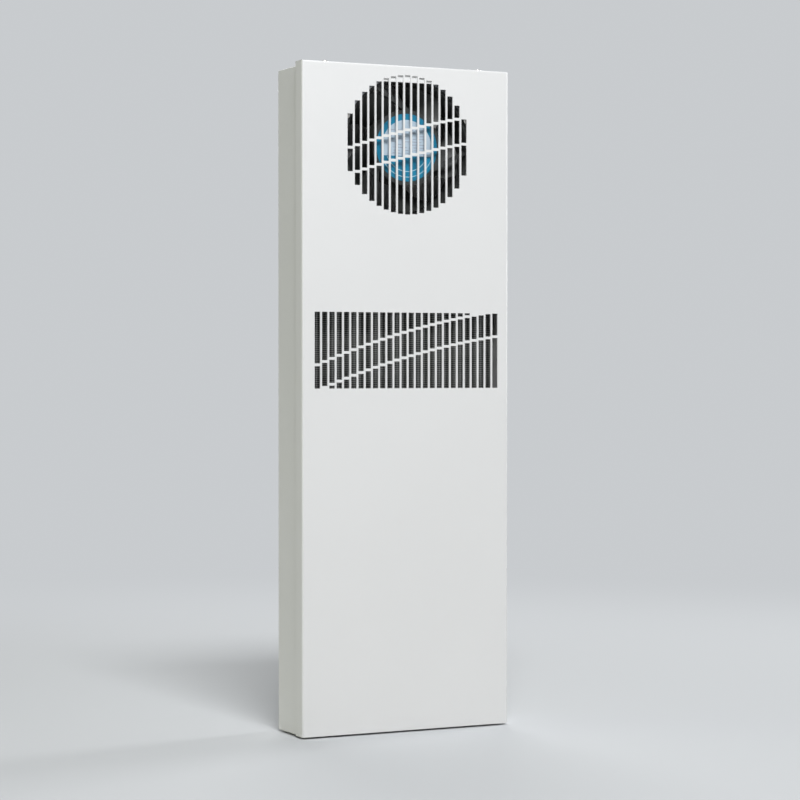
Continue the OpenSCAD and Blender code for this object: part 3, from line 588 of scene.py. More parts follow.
@dataclass(frozen=True)
class TurnedLacquer(Finish):
    """Black lacquer on turned steel, whose rings show through it."""

    centre: Vector
    ring_scale: float = 1.6
    ring_detail: float = 3.0
    shares: Range = (0.75, 1.35)
    spots: Grain = Grain(6.0, 4.0)
    change: Range = (-0.08, 0.12)
    depth: float = 0.05
    strength: float = 0.6
    coat: float = 0.3
    coat_roughness: float = 0.25

    def paint(self, graph: Graph) -> None:
        """Build the turned rings and small dull spots."""
        _, _, radius = graph.about(self.centre)
        inputs = {"W": radius, "Scale": self.ring_scale, "Detail": self.ring_detail}
        rings = graph.node("ShaderNodeTexNoise", inputs, noise_dimensions="1D").outputs[0]
        graph.shade(
            base_color=graph.tone(graph.level(rings, 0.0, 1.0), self.colour, *self.shares),
            roughness=self.gloss(graph, graph.noise(self.spots), self.change),
            normal=graph.bump(rings, self.depth, self.strength),
            coat_weight=self.coat,
            coat_roughness=self.coat_roughness,
        )


@dataclass(frozen=True)
class WoundStator(Finish):
    """Lacquered copper windings at both ends of a grey stack of laminations."""

    centre: Vector
    stack_low: float
    stack_high: float
    wire: float = 0.8
    # Shares of the copper in the gaps between turns, darkened as painted shade, and on the turns
    wire_and_gap_shade_shares: Range = (0.45, 1.1)
    sheet: float = 0.5
    sheet_colour: Colour = (0.30, 0.30, 0.32)
    sheet_shares: Range = (0.5, 1.1)
    change: Range = (0.0, 0.15)
    depth: float = 0.4
    strength: float = 0.8
    metallic: float = 0.85
    coat: float = 0.4

    def paint(self, graph: Graph) -> None:
        """Build the wires with painted shade in the gaps between turns, the laminations and the
        border between them.
        """
        y = graph.along("Y")
        stack = graph.band(y, self.stack_low, self.stack_high)
        _, _, radius = graph.about(self.centre)
        turns = graph.ripple(radius, self.wire)
        wires = graph.level(turns, 0.0, 1.0, 0.0, self.wire / 2)
        sheets = graph.level(graph.ripple(y, self.sheet), 0.0, 1.0, 0.0, self.sheet / 2)
        # The copper darkens in the gaps between turns: painted shade
        copper = graph.tone(wires, self.colour, *self.wire_and_gap_shade_shares)
        steel = graph.tone(sheets, self.sheet_colour, *self.sheet_shares)
        graph.shade(
            base_color=graph.mix(stack, copper, steel),
            roughness=self.gloss(graph, stack, self.change, 0.0, 1.0),
            normal=graph.bump(turns, self.depth, self.strength),
            metallic=self.metallic,
            coat_weight=self.coat,
        )


@dataclass(frozen=True)
class LabelPrint(Finish):
    """Printed film on a fan's motor: a blue disc with a pale ruled field above pale arcs."""

    centre: Vector
    paper: Colour = (0.46, 0.56, 0.65)
    rule: Colour = (0.33, 0.37, 0.45)
    arc: Colour = (0.42, 0.62, 0.70)
    field_r: float = 30.8
    field_floor: float = -9.4
    rule_pitch: float = 3.2
    rule_w: float = 1.0
    rule_half: float = 22.0
    rule_top: float = 20.8
    # The rules are broken where this noise is under its level
    dashes: Grain = Grain(5.0, 1.0, (1.0, 1.0, 2.2))
    dash_level: float = 0.47
    arc_radii: tuple[float, ...] = (32.6, 26.4)
    arc_w: float = 0.85
    ink: Grain = Grain(12.0)
    ink_shares: Range = (0.7, 1.2)
    smears: Grain = Grain(3.0)
    change: Range = (-0.05, 0.08)
    buckles: Grain = Grain(7.0)
    depth: float = 0.03
    strength: float = 0.4
    film: float = 0.25
    film_roughness: float = 0.15

    def paint(self, graph: Graph) -> None:
        """Build the field, its rules and the arcs, under a clear film."""
        across, up, radius = graph.about(self.centre)
        field = graph.maths("MULTIPLY", graph.maths("LESS_THAN", radius, self.field_r),
                            graph.maths("GREATER_THAN", up, self.field_floor))
        cloud = graph.level(graph.noise(self.ink), 0.0, 1.0)
        design = graph.mix(field, graph.tone(cloud, self.colour, *self.ink_shares), self.paper)
        design = graph.mix(self.rules(graph, across, up), design, self.rule)
        design = graph.mix(self.arcs(graph, up, radius), design, self.arc)
        graph.shade(
            base_color=design,
            roughness=self.gloss(graph, graph.noise(self.smears), self.change),
            normal=graph.bump(graph.noise(self.buckles), self.depth, self.strength),
            coat_weight=self.film,
            coat_roughness=self.film_roughness,
        )

    def rules(self, graph: Graph, across: NodeSocket, up: NodeSocket) -> NodeSocket:
        """Build the broken rules.

        Args:
            graph: The material's node tree.
            across: Distance across from the label's middle.
            up: Distance up from it.

        Returns:
            1 on the rules and 0 elsewhere.
        """
        rows = graph.maths("LESS_THAN", graph.ripple(up, self.rule_pitch), self.rule_w / 2)
        block = graph.maths("MULTIPLY", graph.band(across, -self.rule_half, self.rule_half),
                            graph.band(up, self.field_floor + self.rule_pitch / 2, self.rule_top))
        inked = graph.maths("GREATER_THAN", graph.noise(self.dashes), self.dash_level)
        return graph.maths("MULTIPLY", graph.maths("MULTIPLY", rows, inked), block)

    def arcs(self, graph: Graph, up: NodeSocket, radius: NodeSocket) -> NodeSocket:
        """Build the arcs below the field.

        Args:
            graph: The material's node tree.
            up: Distance up from the label's middle.
            radius: Distance from it in any direction.

        Returns:
            1 on the arcs and 0 elsewhere.
        """
        below = graph.maths("LESS_THAN", up, self.field_floor - self.arc_w)
        half = self.arc_w / 2
        rings = [graph.band(radius, arc_r - half, arc_r + half) for arc_r in self.arc_radii]
        return graph.maths("MULTIPLY", graph.maths("ADD", *rings), below)


@dataclass(frozen=True)
class CellFoam(Finish):
    """Closed-cell foam with its skin of small burst cells."""

    cell: float = 0.9
    rim: float = 0.8
    shares: Range = (0.5, 1.4)
    depth: float = 0.25
    strength: float = 0.7

    def paint(self, graph: Graph) -> None:
        """Build the cells, with painted shade in their pits."""
        cells = graph.cells(self.cell, Cell.DISTANCE)
        # Each cell darkens towards its middle, where the bump sinks: painted shade in the burst
        # cells' pits
        tint = graph.level(cells, 0.0, 1.0, 0.0, self.rim)
        graph.shade(
            base_color=graph.tone(tint, self.colour, *self.shares),
            roughness=self.roughness,
            normal=graph.bump(cells, self.depth, self.strength),
        )


WHITE_COAT = PowderCoat("coat_white", Slot.WHITE_COAT, (0.80, 0.81, 0.82), 0.42)
ZINC_SHEET = GalvanisedSheet("sheet_galvanised", Slot.ZINC_SHEET, (0.50, 0.515, 0.53), 0.42)
# Core foil, its colour darkened below that of bare aluminium as painted shade for the core's dim
# place behind the grilles
SHADE_DARKENED_FOIL = RolledFoil("foil_core", Slot.FIN_SHEET, (0.295, 0.30, 0.29), 0.42)
FAN_CASTING = CastCoat("coat_casting", Slot.FAN_CASTING, (0.034, 0.036, 0.036), 0.48)
IMPELLER_PLASTIC = MouldedPlastic("moulding_impeller", Slot.IMPELLER, (0.026, 0.028, 0.027), 0.5)
BEARING_STEEL = GroundSteel("steel_ground", Slot.BEARING_STEEL, (0.66, 0.66, 0.68), 0.22)
ZINC_STEEL = ZincPlate("steel_zinc_plated", Slot.ZINC_STEEL, (0.66, 0.68, 0.72), 0.28)
GASKET_FOAM = CellFoam("foam_gasket", Slot.FOAM, (0.035, 0.035, 0.038), 0.95)
BLACK_RUBBER = SoftJacket("rubber_black", Slot.RUBBER, (0.022, 0.022, 0.023), 0.6)
TERMINAL_PLASTIC = MouldedPlastic("moulding_terminals", Slot.TERMINAL_PLASTIC,
                                  (0.60, 0.57, 0.46), 0.38)
TERMINAL_BRASS = YellowBrass("brass_turned", Slot.TERMINAL_BRASS, (0.70, 0.52, 0.24), 0.28)
CAPACITOR_CAN = DrawnCan("can_drawn", Slot.CAPACITOR_CAN, (0.72, 0.73, 0.74), 0.3)
LEAD_JACKET = SoftJacket("jacket_lead", Slot.LEAD_JACKET, (0.03, 0.03, 0.033), 0.5,
                         tint=Grain(20.0, 5.0), dull=Grain(20.0, 5.0))
LABEL_BLUE = (0.012, 0.21, 0.36)
LABEL_ROUGHNESS = 0.3
WINDING_COPPER = (0.62, 0.26, 0.12)
WINDING_ROUGHNESS = 0.35
LACQUER_BLACK = (0.030, 0.030, 0.033)
LACQUER_ROUGHNESS = 0.32


def merged(node: str) -> BMesh:
    """Copy a frame node's mesh with its loose triangles joined.

    Args:
        node: Name of the node.

    Returns:
        The joined mesh, in metres, with its flat faces whole.
    """
    bm = bmesh.new()
    bm.from_mesh(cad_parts[node].data)
    bmesh.ops.remove_doubles(bm, verts=bm.verts, dist=MERGE_GAP)
    bmesh.ops.dissolve_limit(bm, angle_limit=FLAT_ANGLE, verts=bm.verts, edges=bm.edges)
    return bm


def solid_boxes(node: str) -> list[tuple[Vector, Vector]]:
    """Find the box of each separate solid of a frame node.

    Args:
        node: Name of the node.

    Returns:
        The lowest and highest corner of each, in metres, in a fixed order.
    """
    bm = merged(node)
    boxes = []
    left = set(bm.verts)
    while left:
        border = [left.pop()]
        found = [border[0].co.copy()]
        while border:
            vert = border.pop()
            for edge in vert.link_edges:
                other = edge.other_vert(vert)
                if other in left:
                    left.discard(other)
                    border.append(other)
                    found.append(other.co.copy())
        boxes.append((Vector(map(min, *found)), Vector(map(max, *found))))
    bm.free()
    return sorted(boxes, key=lambda box: tuple(round(c, ORDER_DIGITS) for c in box[0]))


def middle(node: str) -> Vector:
    """Return the middle of a frame node's box, in metres."""
    low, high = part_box(node)
    return (low + high) / 2


def lathe(profile: Profile, steps: int = 64, closed: bool = True) -> BMesh:
    """Spin a profile round the Z axis.

    Args:
        profile: Radius and height of each corner.
        steps: Number of steps round the axis.
        closed: Whether the last corner joins the first.

    Returns:
        The turned mesh, with its pole and seam closed.
    """
    bm = bmesh.new()
    corners = [bm.verts.new((r, 0.0, z)) for r, z in profile]
    ends = corners[1:] + corners[:1] if closed else corners[1:]
    sides = [bm.edges.new(pair) for pair in zip(corners, ends)]
    bmesh.ops.spin(bm, geom=corners + sides, cent=(0, 0, 0), axis=(0, 0, 1), dvec=(0, 0, 0),
                   angle=math.tau, steps=steps, use_merge=True, use_duplicate=False)
    bmesh.ops.remove_doubles(bm, verts=bm.verts, dist=LATHE_GAP)
    bmesh.ops.recalc_face_normals(bm, faces=bm.faces)
    return bm


def ring_section(ring_r: float, wire_r: float, sides: int = 12) -> Profile:
    """Return the round section of a wire ring as a profile for the lathe."""
    angles = [i * math.tau / sides for i in range(sides)]
    return [(ring_r + wire_r * math.cos(a), wire_r * math.sin(a)) for a in angles]


def arc_section(centre: tuple[float, float], radius: float, start: float, end: float,
                steps: int = 4) -> Profile:
    """List points on an arc of a profile.

    Args:
        centre: Radius and height of its centre.
        radius: Radius of the arc.
        start: Angle of its first point in degrees.
        end: Angle of its last point in degrees.
        steps: Number of steps between them.

    Returns:
        The points as radius and height.
    """
    angles = [math.radians(start + (end - start) * i / steps) for i in range(steps + 1)]
    return [(centre[0] + radius * math.cos(a), centre[1] + radius * math.sin(a)) for a in angles]


def rounded(bm: BMesh, edges: Sequence[BMEdge], width: float, steps: int) -> None:
    """Round edges of a mesh.

    Args:
        bm: The mesh.
        edges: Its edges that are rounded.
        width: Width of the round on each side of an edge, in the mesh's own unit.
        steps: Number of faces across the round.
    """
    bmesh.ops.bevel(bm, geom=edges, offset=width, offset_type="OFFSET", segments=steps,
                    profile=0.5, affect="EDGES", clamp_overlap=True, material=-1)


def add_copy(target: BMesh, source: BMesh, place: Matrix) -> None:
    """Add a placed copy of one mesh to another.

    Args:
        target: Mesh that grows.
        source: Mesh that is copied.
        place: Where the copy goes.
    """
    copy = bpy.data.meshes.new("copy")
    source.to_mesh(copy)
    copy.transform(place)
    target.from_mesh(copy)
    bpy.data.meshes.remove(copy)


def joined(solid: BMesh, other: BMesh, join: Join) -> BMesh:
    """Weld one mesh to another, or cut one out of another.

    Args:
        solid: The mesh that stays, which is used up.
        other: The mesh that is added or taken out, which is used up.
        join: Which of the two is done.

    Returns:
        The new mesh.
    """
    objects = []
    for name, bm in (("join_solid", solid), ("join_other", other)):
        mesh = bpy.data.meshes.new(name)
        bm.to_mesh(mesh)
        bm.free()
        objects.append(bpy.data.objects.new(name, mesh))
        bpy.context.scene.collection.objects.link(objects[-1])
    cut = objects[0].modifiers.new("cut", "BOOLEAN")
    cut.object = objects[1]
    cut.operation = join.value
    cut.solver = "EXACT"
    cut.use_self = join is Join.CUT
    graph = bpy.context.evaluated_depsgraph_get()
    left = bmesh.new()
    left.from_object(objects[0], graph)
    for used in objects:
        bpy.data.meshes.remove(used.data)
    return left


def settle(bm: BMesh, name: str, body: Body, finish: Finish, replaces: Iterable[str],
           place: Matrix = Matrix.Identity(4), crease: float = 34.0) -> Object:
    """Make a finished piece of a mesh.

    Args:
        bm: The mesh, which is used up.
        name: Name of the piece.
        body: Body that it rides on.
        finish: Its finish.
        replaces: Frame nodes that it stands for.
        place: Where the mesh goes, in metres.
        crease: Angle in degrees above which an edge stays sharp.

    Returns:
        The piece.
    """
    bm.transform(place)
    for face in bm.faces:
        face.smooth = True
    for edge in bm.edges:
        edge.smooth = edge.calc_face_angle(0.0) < math.radians(crease)
    mesh = bpy.data.meshes.new(name)
    bm.to_mesh(mesh)
    bm.free()
    mesh.materials.append(finish.material())
    piece = bpy.data.objects.new(name, mesh)
    bpy.context.scene.collection.objects.link(piece)
    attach(piece, body.value)
    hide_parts(*replaces)
    log.info("%s: %d faces, on %s, for %s", name, len(mesh.polygons), body.value,
             ", ".join(replaces))
    return piece


@dataclass(frozen=True)
class Part:
    """A frame node that keeps its shape and gets rounded edges and a finish."""

    node: str
    piece: str
    finish: Finish
    edge: float = 0.0
    body: Body = Body.HOUSING
    sharp_angle: float = 36.0
    welded: tuple[str, ...] = ()
    shape: Callable[[BMesh], None] | None = None
    corner_r: float = 0.0
    edge_steps: int = 2
    corner_steps: int = 3

    def build(self) -> Object:
        """Copy the node, weld others to it, shape it, round its edges and dress it.

        Returns:
            The new piece.
        """
        bm = merged(self.node)
        for other in self.welded:
            bm = joined(bm, merged(other), Join.WELD)
        bmesh.ops.dissolve_limit(bm, angle_limit=FLAT_ANGLE, verts=bm.verts, edges=bm.edges)
        if self.shape is not None:
            self.shape(bm)
        if self.corner_r > 0:
            self.round_corners(bm)
        limit = math.radians(self.sharp_angle)
        sharp = [edge for edge in bm.edges
                 if edge.is_manifold and edge.calc_face_angle(0.0) > limit]
        if self.edge > 0:
            rounded(bm, sharp, self.edge * MM, self.edge_steps)
        piece = settle(bm, self.piece, self.body, self.finish, [self.node, *self.welded])
        normals = piece.modifiers.new("even_normals", "WEIGHTED_NORMAL")
        normals.keep_sharp = True
        return piece

    def round_corners(self, bm: BMesh) -> None:
        """Round the outer corners where the top and bottom meet the sides.

        Args:
            bm: The mesh, in metres.
        """
        xs, zs = ([vert.co[axis] for vert in bm.verts] for axis in (0, 2))
        ends = [(x, z) for x in (min(xs), max(xs)) for z in (min(zs), max(zs))]
        corners = [edge for edge in bm.edges if edge.is_manifold and any(
            all(math.dist(end, (vert.co.x, vert.co.z)) < 2 * MERGE_GAP for vert in edge.verts)
            for end in ends)]
        rounded(bm, corners, self.corner_r * MM, self.corner_steps)


@dataclass(frozen=True)
class Casing:
    """The painted cover and housing, with their seals, lugs and nuts."""

    fold_edge: float = 0.35
    corner_r: float = 1.2
    foam_edge: float = 0.8
    # X of the middle of both grilles, and a height between the two
    grille_x: float = 0.7
    grille_border: float = 150.0
    slot_pitch: float = 8.78
    slot_w: float = 5.8
    # How far each side of a slot moves into its bar
    slot_ease: float = 0.4
    slot_tolerance: float = 0.02

    def build(self) -> None:
        """Build the painted sheets, the seals, the lugs and the nuts."""
        for part in (
            Part("front_cover", "cover_sheet", WHITE_COAT, self.fold_edge, shape=self.ease_slots),
            Part("rear_housing", "housing_sheet", WHITE_COAT, self.fold_edge,
                 welded=("housing_sides", "housing_top", "housing_bottom"), corner_r=self.corner_r),
            Part("rear_gasket", "gasket_strip", GASKET_FOAM, self.foam_edge),
            Part("cover_top_seal", "top_seal_strip", GASKET_FOAM, self.foam_edge),
            Part("cover_lugs", "lug_brackets", ZINC_SHEET, self.fold_edge),
            Part("mounting_nuts", "wall_nuts", ZINC_STEEL, self.fold_edge),
            Part("cover_nuts", "cover_clinch_nuts", ZINC_STEEL, self.fold_edge),
        ):
            part.build()

    def ease_slots(self, bm: BMesh) -> None:
        """Move the sides of the grille slots apart, each into its bar.

        The round grille, above the border, has a slot on its middle; the other one a bar.

        Args:
            bm: The cover's mesh, in metres.
        """
        for vert in bm.verts:
            steps = (vert.co.x / MM - self.grille_x) / self.slot_pitch
            shift = 0.0 if vert.co.z / MM > self.grille_border else 0.5
            aside = (steps - shift - round(steps - shift)) * self.slot_pitch
            if math.isclose(abs(aside), self.slot_w / 2, abs_tol=self.slot_tolerance):
                vert.co.x += math.copysign(self.slot_ease * MM, aside)


@dataclass(frozen=True)
class Panels:
    """The rails and the two panels that part the air streams."""

    fold_edge: float = 0.3

    def build(self) -> None:
        """Build the rails and panels."""
        for part in (
            Part("panel_rails", "side_rails", ZINC_SHEET, self.fold_edge),
            Part("ambient_fan_plate", "fan_plate_sheet", ZINC_SHEET, self.fold_edge),
            Part("chamber_panel", "chamber_panel_sheet", ZINC_SHEET, self.fold_edge),
        ):
            part.build()


@dataclass(frozen=True)
class Core:
    """The folded and rippled core with its side plates and end caps."""

    fold_w: float = 3.3
    sheet_t: float = 0.5
    ripple_pitch: float = 2.35
    ripple_depth: float = 0.6
    ripple_crease: float = 14.0
    cap_edge: float = 0.25

    def build(self) -> None:
        """Build the folded sheet, the side plates and the caps."""
        self.folded_sheet()
        for part in (
            Part("core_side_plates", "core_sides", SHADE_DARKENED_FOIL, self.cap_edge),
            Part("core_top_cap", "core_cap_above", ZINC_SHEET, self.cap_edge),
            Part("core_bottom_cap", "core_cap_below", ZINC_SHEET, self.cap_edge),
        ):
            part.build()

    def folded_sheet(self) -> Object:
        """Fold a grid into the core's channels and press the ripples into it.

        Two columns of the grid make a wall, and every second fold between walls is in front.

        Returns:
            The folded sheet.
        """
        low, high = (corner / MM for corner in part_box("core_fins"))
        half_t = self.sheet_t / 2
        walls = round((high.x - low.x - self.sheet_t) / self.fold_w) + 1
        rows = 2 * round((high.z - low.z) / self.ripple_pitch)
        columns = 2 * walls - 1
        bm = bmesh.new()
        bmesh.ops.create_grid(bm, x_segments=columns, y_segments=rows, size=0.5)
        for vert in bm.verts:
            step = round((vert.co.x + 0.5) * columns)
            row = round((vert.co.y + 0.5) * rows)
            at_front = step % 4 in (0, 3)
            pressed = self.ripple_depth * (row % 2)
            depth = low.y + half_t + pressed if at_front else high.y - half_t - pressed
            across = low.x + half_t + self.fold_w * (step // 2)
            vert.co = (across, depth, low.z + (high.z - low.z) * row / rows)
        # The rippled sheet takes the foil's colour, which is darkened as painted shade
        finish = RippledFoil("foil_rippled", Slot.FIN_SHEET, SHADE_DARKENED_FOIL.colour, SHADE_DARKENED_FOIL.roughness,
                             low=low.z, pitch=2 * (high.z - low.z) / rows)
        piece = settle(bm, "core_folded_sheet", Body.HOUSING, finish, ["core_fins"],
                       Matrix.Scale(MM, 4), self.ripple_crease)
        sheet = piece.modifiers.new("sheet", "SOLIDIFY")
        sheet.thickness = self.sheet_t * MM
        sheet.offset = 0.0
        return piece


@dataclass(frozen=True)
class Fan:
    """One axial fan with an external rotor, drawn with its axis along Z and its rear face at 0."""

    prefix: str
    body: Body
    shaft_r: float = 4.02
    shaft_edge: float = 0.2
    clip_edge: float = 0.1
    cup_r: float = 38.0
    cup_floor: float = 2.5
    cup_top: float = 32.0
    cup_wall: float = 3.5
    cup_steps: int = 96
    cup_round: float = 1.6
    cup_chamfer: float = 0.5
    # Ends of the slope inside, measured from the cup's inner wall and its face
    cup_slope: Profile = ((0.0, 3.2), (-1.2, 2.0))
    # Inner radius, outer radius and depth of each groove in the cup's face
    grooves: tuple[tuple[float, float, float], ...] = ((7.6, 11.0, 0.6), (25.0, 33.4, 0.8))
    bore_chamfer: float = 0.6
    boss_r: float = 9.0
    boss_top: float = 9.0
    boss_rise: float = 2.0
    hub_in_r: float = 38.05
    hub_r: float = 40.0
    hub_low: float = 4.0
    hub_high: float = 31.0
    hub_round: float = 0.7
    hub_steps: int = 80
    tip_r: float = 71.5
    blade_low: float = 4.6
    blade_high: float = 32.9
    blade_count: int = 5
    blade_t: float = 1.9
    blade_cells: tuple[int, int] = (10, 12)
    rim_angle: float = 60.0
    rim_share: float = 0.4
    rim_steps: int = 3
    # How far a blade's edges are drawn in at its tip
    tip_draw: float = 2.4
    # Degrees that a blade turns from its rear edge to its front edge
    twist: float = 42.0
    # Degrees that its tip is swept by, and the power with which the sweep grows outwards
    sweep: float = 20.0
    sweep_power: float = 1.6
    # Degrees that it bulges by
    camber: float = 3.0
    # How deep its root sinks into the hub
    root_sink: float = 0.6
    crease: float = 50.0
    casting_edge: float = 0.6
    # Where the laminations between the windings start and end, from the fan's rear face
    stack_low: float = 13.0
    stack_high: float = 25.0

    @property
    def centre(self) -> Vector:
        """Point on the fan's axis, in metres."""
        return middle(f"{self.prefix}_fan_frame")

    @property
    def rear(self) -> float:
        """Y of the fan's rear face, in metres."""
        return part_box(f"{self.prefix}_fan_frame")[1].y

    @property
    def place(self) -> Matrix:
        """Matrix from the fan's own millimetres to the frame."""
        at = Matrix.Translation((self.centre.x, self.rear, self.centre.z))
        return at @ Matrix.Rotation(QUARTER_TURN, 4, "X") @ Matrix.Scale(MM, 4)

    def build(self) -> None:
        """Build the frame, the rotor, the stator and the label."""
        self.impeller()
        self.rotor_cup()
        side, fan = self.prefix, f"{self.prefix}_fan"
        label = LabelPrint(f"label_{side}", Slot.LABEL, LABEL_BLUE, LABEL_ROUGHNESS,
                           middle(f"{fan}_label"))
        rear = self.rear / MM
        stator = WoundStator(f"winding_{side}", Slot.WINDING, WINDING_COPPER, WINDING_ROUGHNESS,
                             self.centre, rear - self.stack_high, rear - self.stack_low)
        for part in (
            Part(f"{fan}_frame", f"{fan}_casting", FAN_CASTING, self.casting_edge),
            Part(f"{fan}_stator", f"{fan}_winding", stator, self.casting_edge),
            Part(f"{fan}_bearings", f"{side}_ball_bearings", BEARING_STEEL),
            Part(f"{fan}_label", f"{side}_label_disc", label),
            Part(f"{fan}_shaft", f"{side}_rotor_shaft", BEARING_STEEL, self.shaft_edge, self.body),
            Part(f"{side}_shaft_clip", f"{side}_snap_ring", ZINC_STEEL, self.clip_edge, self.body),
        ):
            part.build()

    def blade_point(self, share: float, along: float) -> Point:
        """Find a point of a blade's middle surface.

        Args:
            share: 0 at the hub and 1 at the tip.
            along: 0 at the rear edge and 1 at the front edge.

        Returns:
            The point in the fan's own millimetres.
        """
        root_r = self.hub_r - self.root_sink
        radius = root_r + share * (self.tip_r - root_r)
        turn = self.sweep * share ** self.sweep_power - self.twist * along
        turn += self.camber * math.sin(math.pi * along)
        drawn_in = self.tip_draw * share ** 2
        low = self.blade_low + drawn_in
        high = self.blade_high - drawn_in
        angle = math.radians(turn)
        return (radius * math.cos(angle), radius * math.sin(angle), low + (high - low) * along)

    def impeller(self) -> Object:
        """Build the hub ring and its swept blades.

        Returns:
            The impeller.
        """
        rim_r = self.hub_r - self.hub_round
        bm = lathe([
            (self.hub_in_r, self.hub_low), (rim_r, self.hub_low),
            (self.hub_r, self.hub_low + self.hub_round),
            (self.hub_r, self.hub_high - self.hub_round),
            (rim_r, self.hub_high), (self.hub_in_r, self.hub_high)], self.hub_steps)
        blade = bmesh.new()
        wide, long = self.blade_cells
        bmesh.ops.create_grid(blade, x_segments=wide, y_segments=long, size=0.5)
        for vert in blade.verts:
            vert.co = self.blade_point(vert.co.x + 0.5, vert.co.y + 0.5)
        bmesh.ops.solidify(blade, geom=blade.faces[:], thickness=self.blade_t)
        bmesh.ops.recalc_face_normals(blade, faces=blade.faces)
        limit = math.radians(self.rim_angle)
        rim = [edge for edge in blade.edges if edge.calc_face_angle(0.0) > limit]
        rounded(blade, rim, self.blade_t * self.rim_share, self.rim_steps)
        for i in range(self.blade_count):
            add_copy(bm, blade, Matrix.Rotation(i * math.tau / self.blade_count, 4, "Z"))
        blade.free()
        node = f"{self.prefix}_impeller"
        return settle(bm, f"{node}_moulding", self.body, IMPELLER_PLASTIC, [node], self.place,
                      self.crease)

    def rotor_cup(self) -> Object:
        """Build the drawn rotor cup with its stepped face.

        Returns:
            The cup.
        """
        inner_r = self.cup_r - self.cup_wall
        low, top, edge = self.cup_floor, self.cup_top, self.cup_round
        profile = [(self.shaft_r, low + self.bore_chamfer), (self.shaft_r + self.bore_chamfer, low)]
        for start, end, depth in self.grooves:
            profile += [(start, low), (start + depth, low + depth), (end - depth, low + depth),
                        (end, low)]
        profile += arc_section((self.cup_r - edge, low + edge), edge, -90, 0)
        profile += [(self.cup_r, top - self.cup_chamfer), (self.cup_r - self.cup_chamfer, top),
                    (inner_r, top)]
        profile += [(inner_r + across, low + up) for across, up in self.cup_slope]
        profile += [(self.boss_r, low + self.boss_rise), (self.boss_r, self.boss_top),
                    (self.shaft_r, self.boss_top)]
        finish = TurnedLacquer(f"lacquer_{self.prefix}", Slot.ROTOR_STEEL, LACQUER_BLACK,
                               LACQUER_ROUGHNESS, self.centre)
        node = f"{self.prefix}_rotor_cup"
        return settle(lathe(profile, self.cup_steps), f"{node}_shell", self.body, finish, [node],
                      self.place)


@dataclass(frozen=True)
class FingerGuard:
    """The wire guard over the enclosure fan's intake."""

    wire_r: float = 0.9
    arm_r: float = 1.0
    rings: int = 5
    first_r: float = 17.0
    ring_pitch: float = 13.5
    ring_steps: int = 96
    arm_sides: int = 14
    ear_r: float = 81.0
    ear_angle: float = 24.0
    eye_r: float = 3.4
    eye_steps: int = 40
    bead_share: float = 1.25
    bead_shape: Point = (1.2, 1.2, 0.75)
    bead_cells: tuple[int, int] = (12, 8)

    def build(self) -> Object:
        """Build the rings, the arms and the eyes at their ends.

        Returns:
            The guard.
        """
        bm = bmesh.new()
        for i in range(self.rings):
            section = ring_section(self.first_r + i * self.ring_pitch, self.wire_r)
            ring = lathe(section, self.ring_steps)
            add_copy(bm, ring, Matrix.Identity(4))
            ring.free()
        arm = self.arm()
        for side in (0, 180):
            for lean in (-self.ear_angle, self.ear_angle):
                add_copy(bm, arm, Matrix.Rotation(math.radians(side + lean), 4, "Z"))
        arm.free()
        at = Matrix.Translation(middle("finger_guard")) @ Matrix.Rotation(QUARTER_TURN, 4, "X")
        return settle(bm, "guard_wires", Body.HOUSING, ZINC_STEEL, ["finger_guard"],
                      at @ Matrix.Scale(MM, 4))

    def arm(self) -> BMesh:
        """Build one arm along X, with its weld beads and its eye.

        Returns:
            The arm's mesh.
        """
        bm = bmesh.new()
        length = self.ear_r - self.eye_r - self.first_r
        at = Matrix.Translation((self.first_r + length / 2, 0, 0))
        bmesh.ops.create_cone(bm, cap_ends=True, segments=self.arm_sides, radius1=self.arm_r,
                              radius2=self.arm_r, depth=length,
                              matrix=at @ Matrix.Rotation(QUARTER_TURN, 4, "Y"))
        shape = Matrix.Diagonal((*self.bead_shape, 1.0))
        round_cells, tall_cells = self.bead_cells
        for i in range(self.rings):
            bead = Matrix.Translation((self.first_r + i * self.ring_pitch, 0, 0))
            bmesh.ops.create_uvsphere(bm, u_segments=round_cells, v_segments=tall_cells,
                                      radius=self.bead_share * self.arm_r, matrix=bead @ shape)
        eye = lathe(ring_section(self.eye_r, self.wire_r), self.eye_steps)
        add_copy(bm, eye, Matrix.Translation((self.ear_r, 0, 0)))
        eye.free()
        return bm


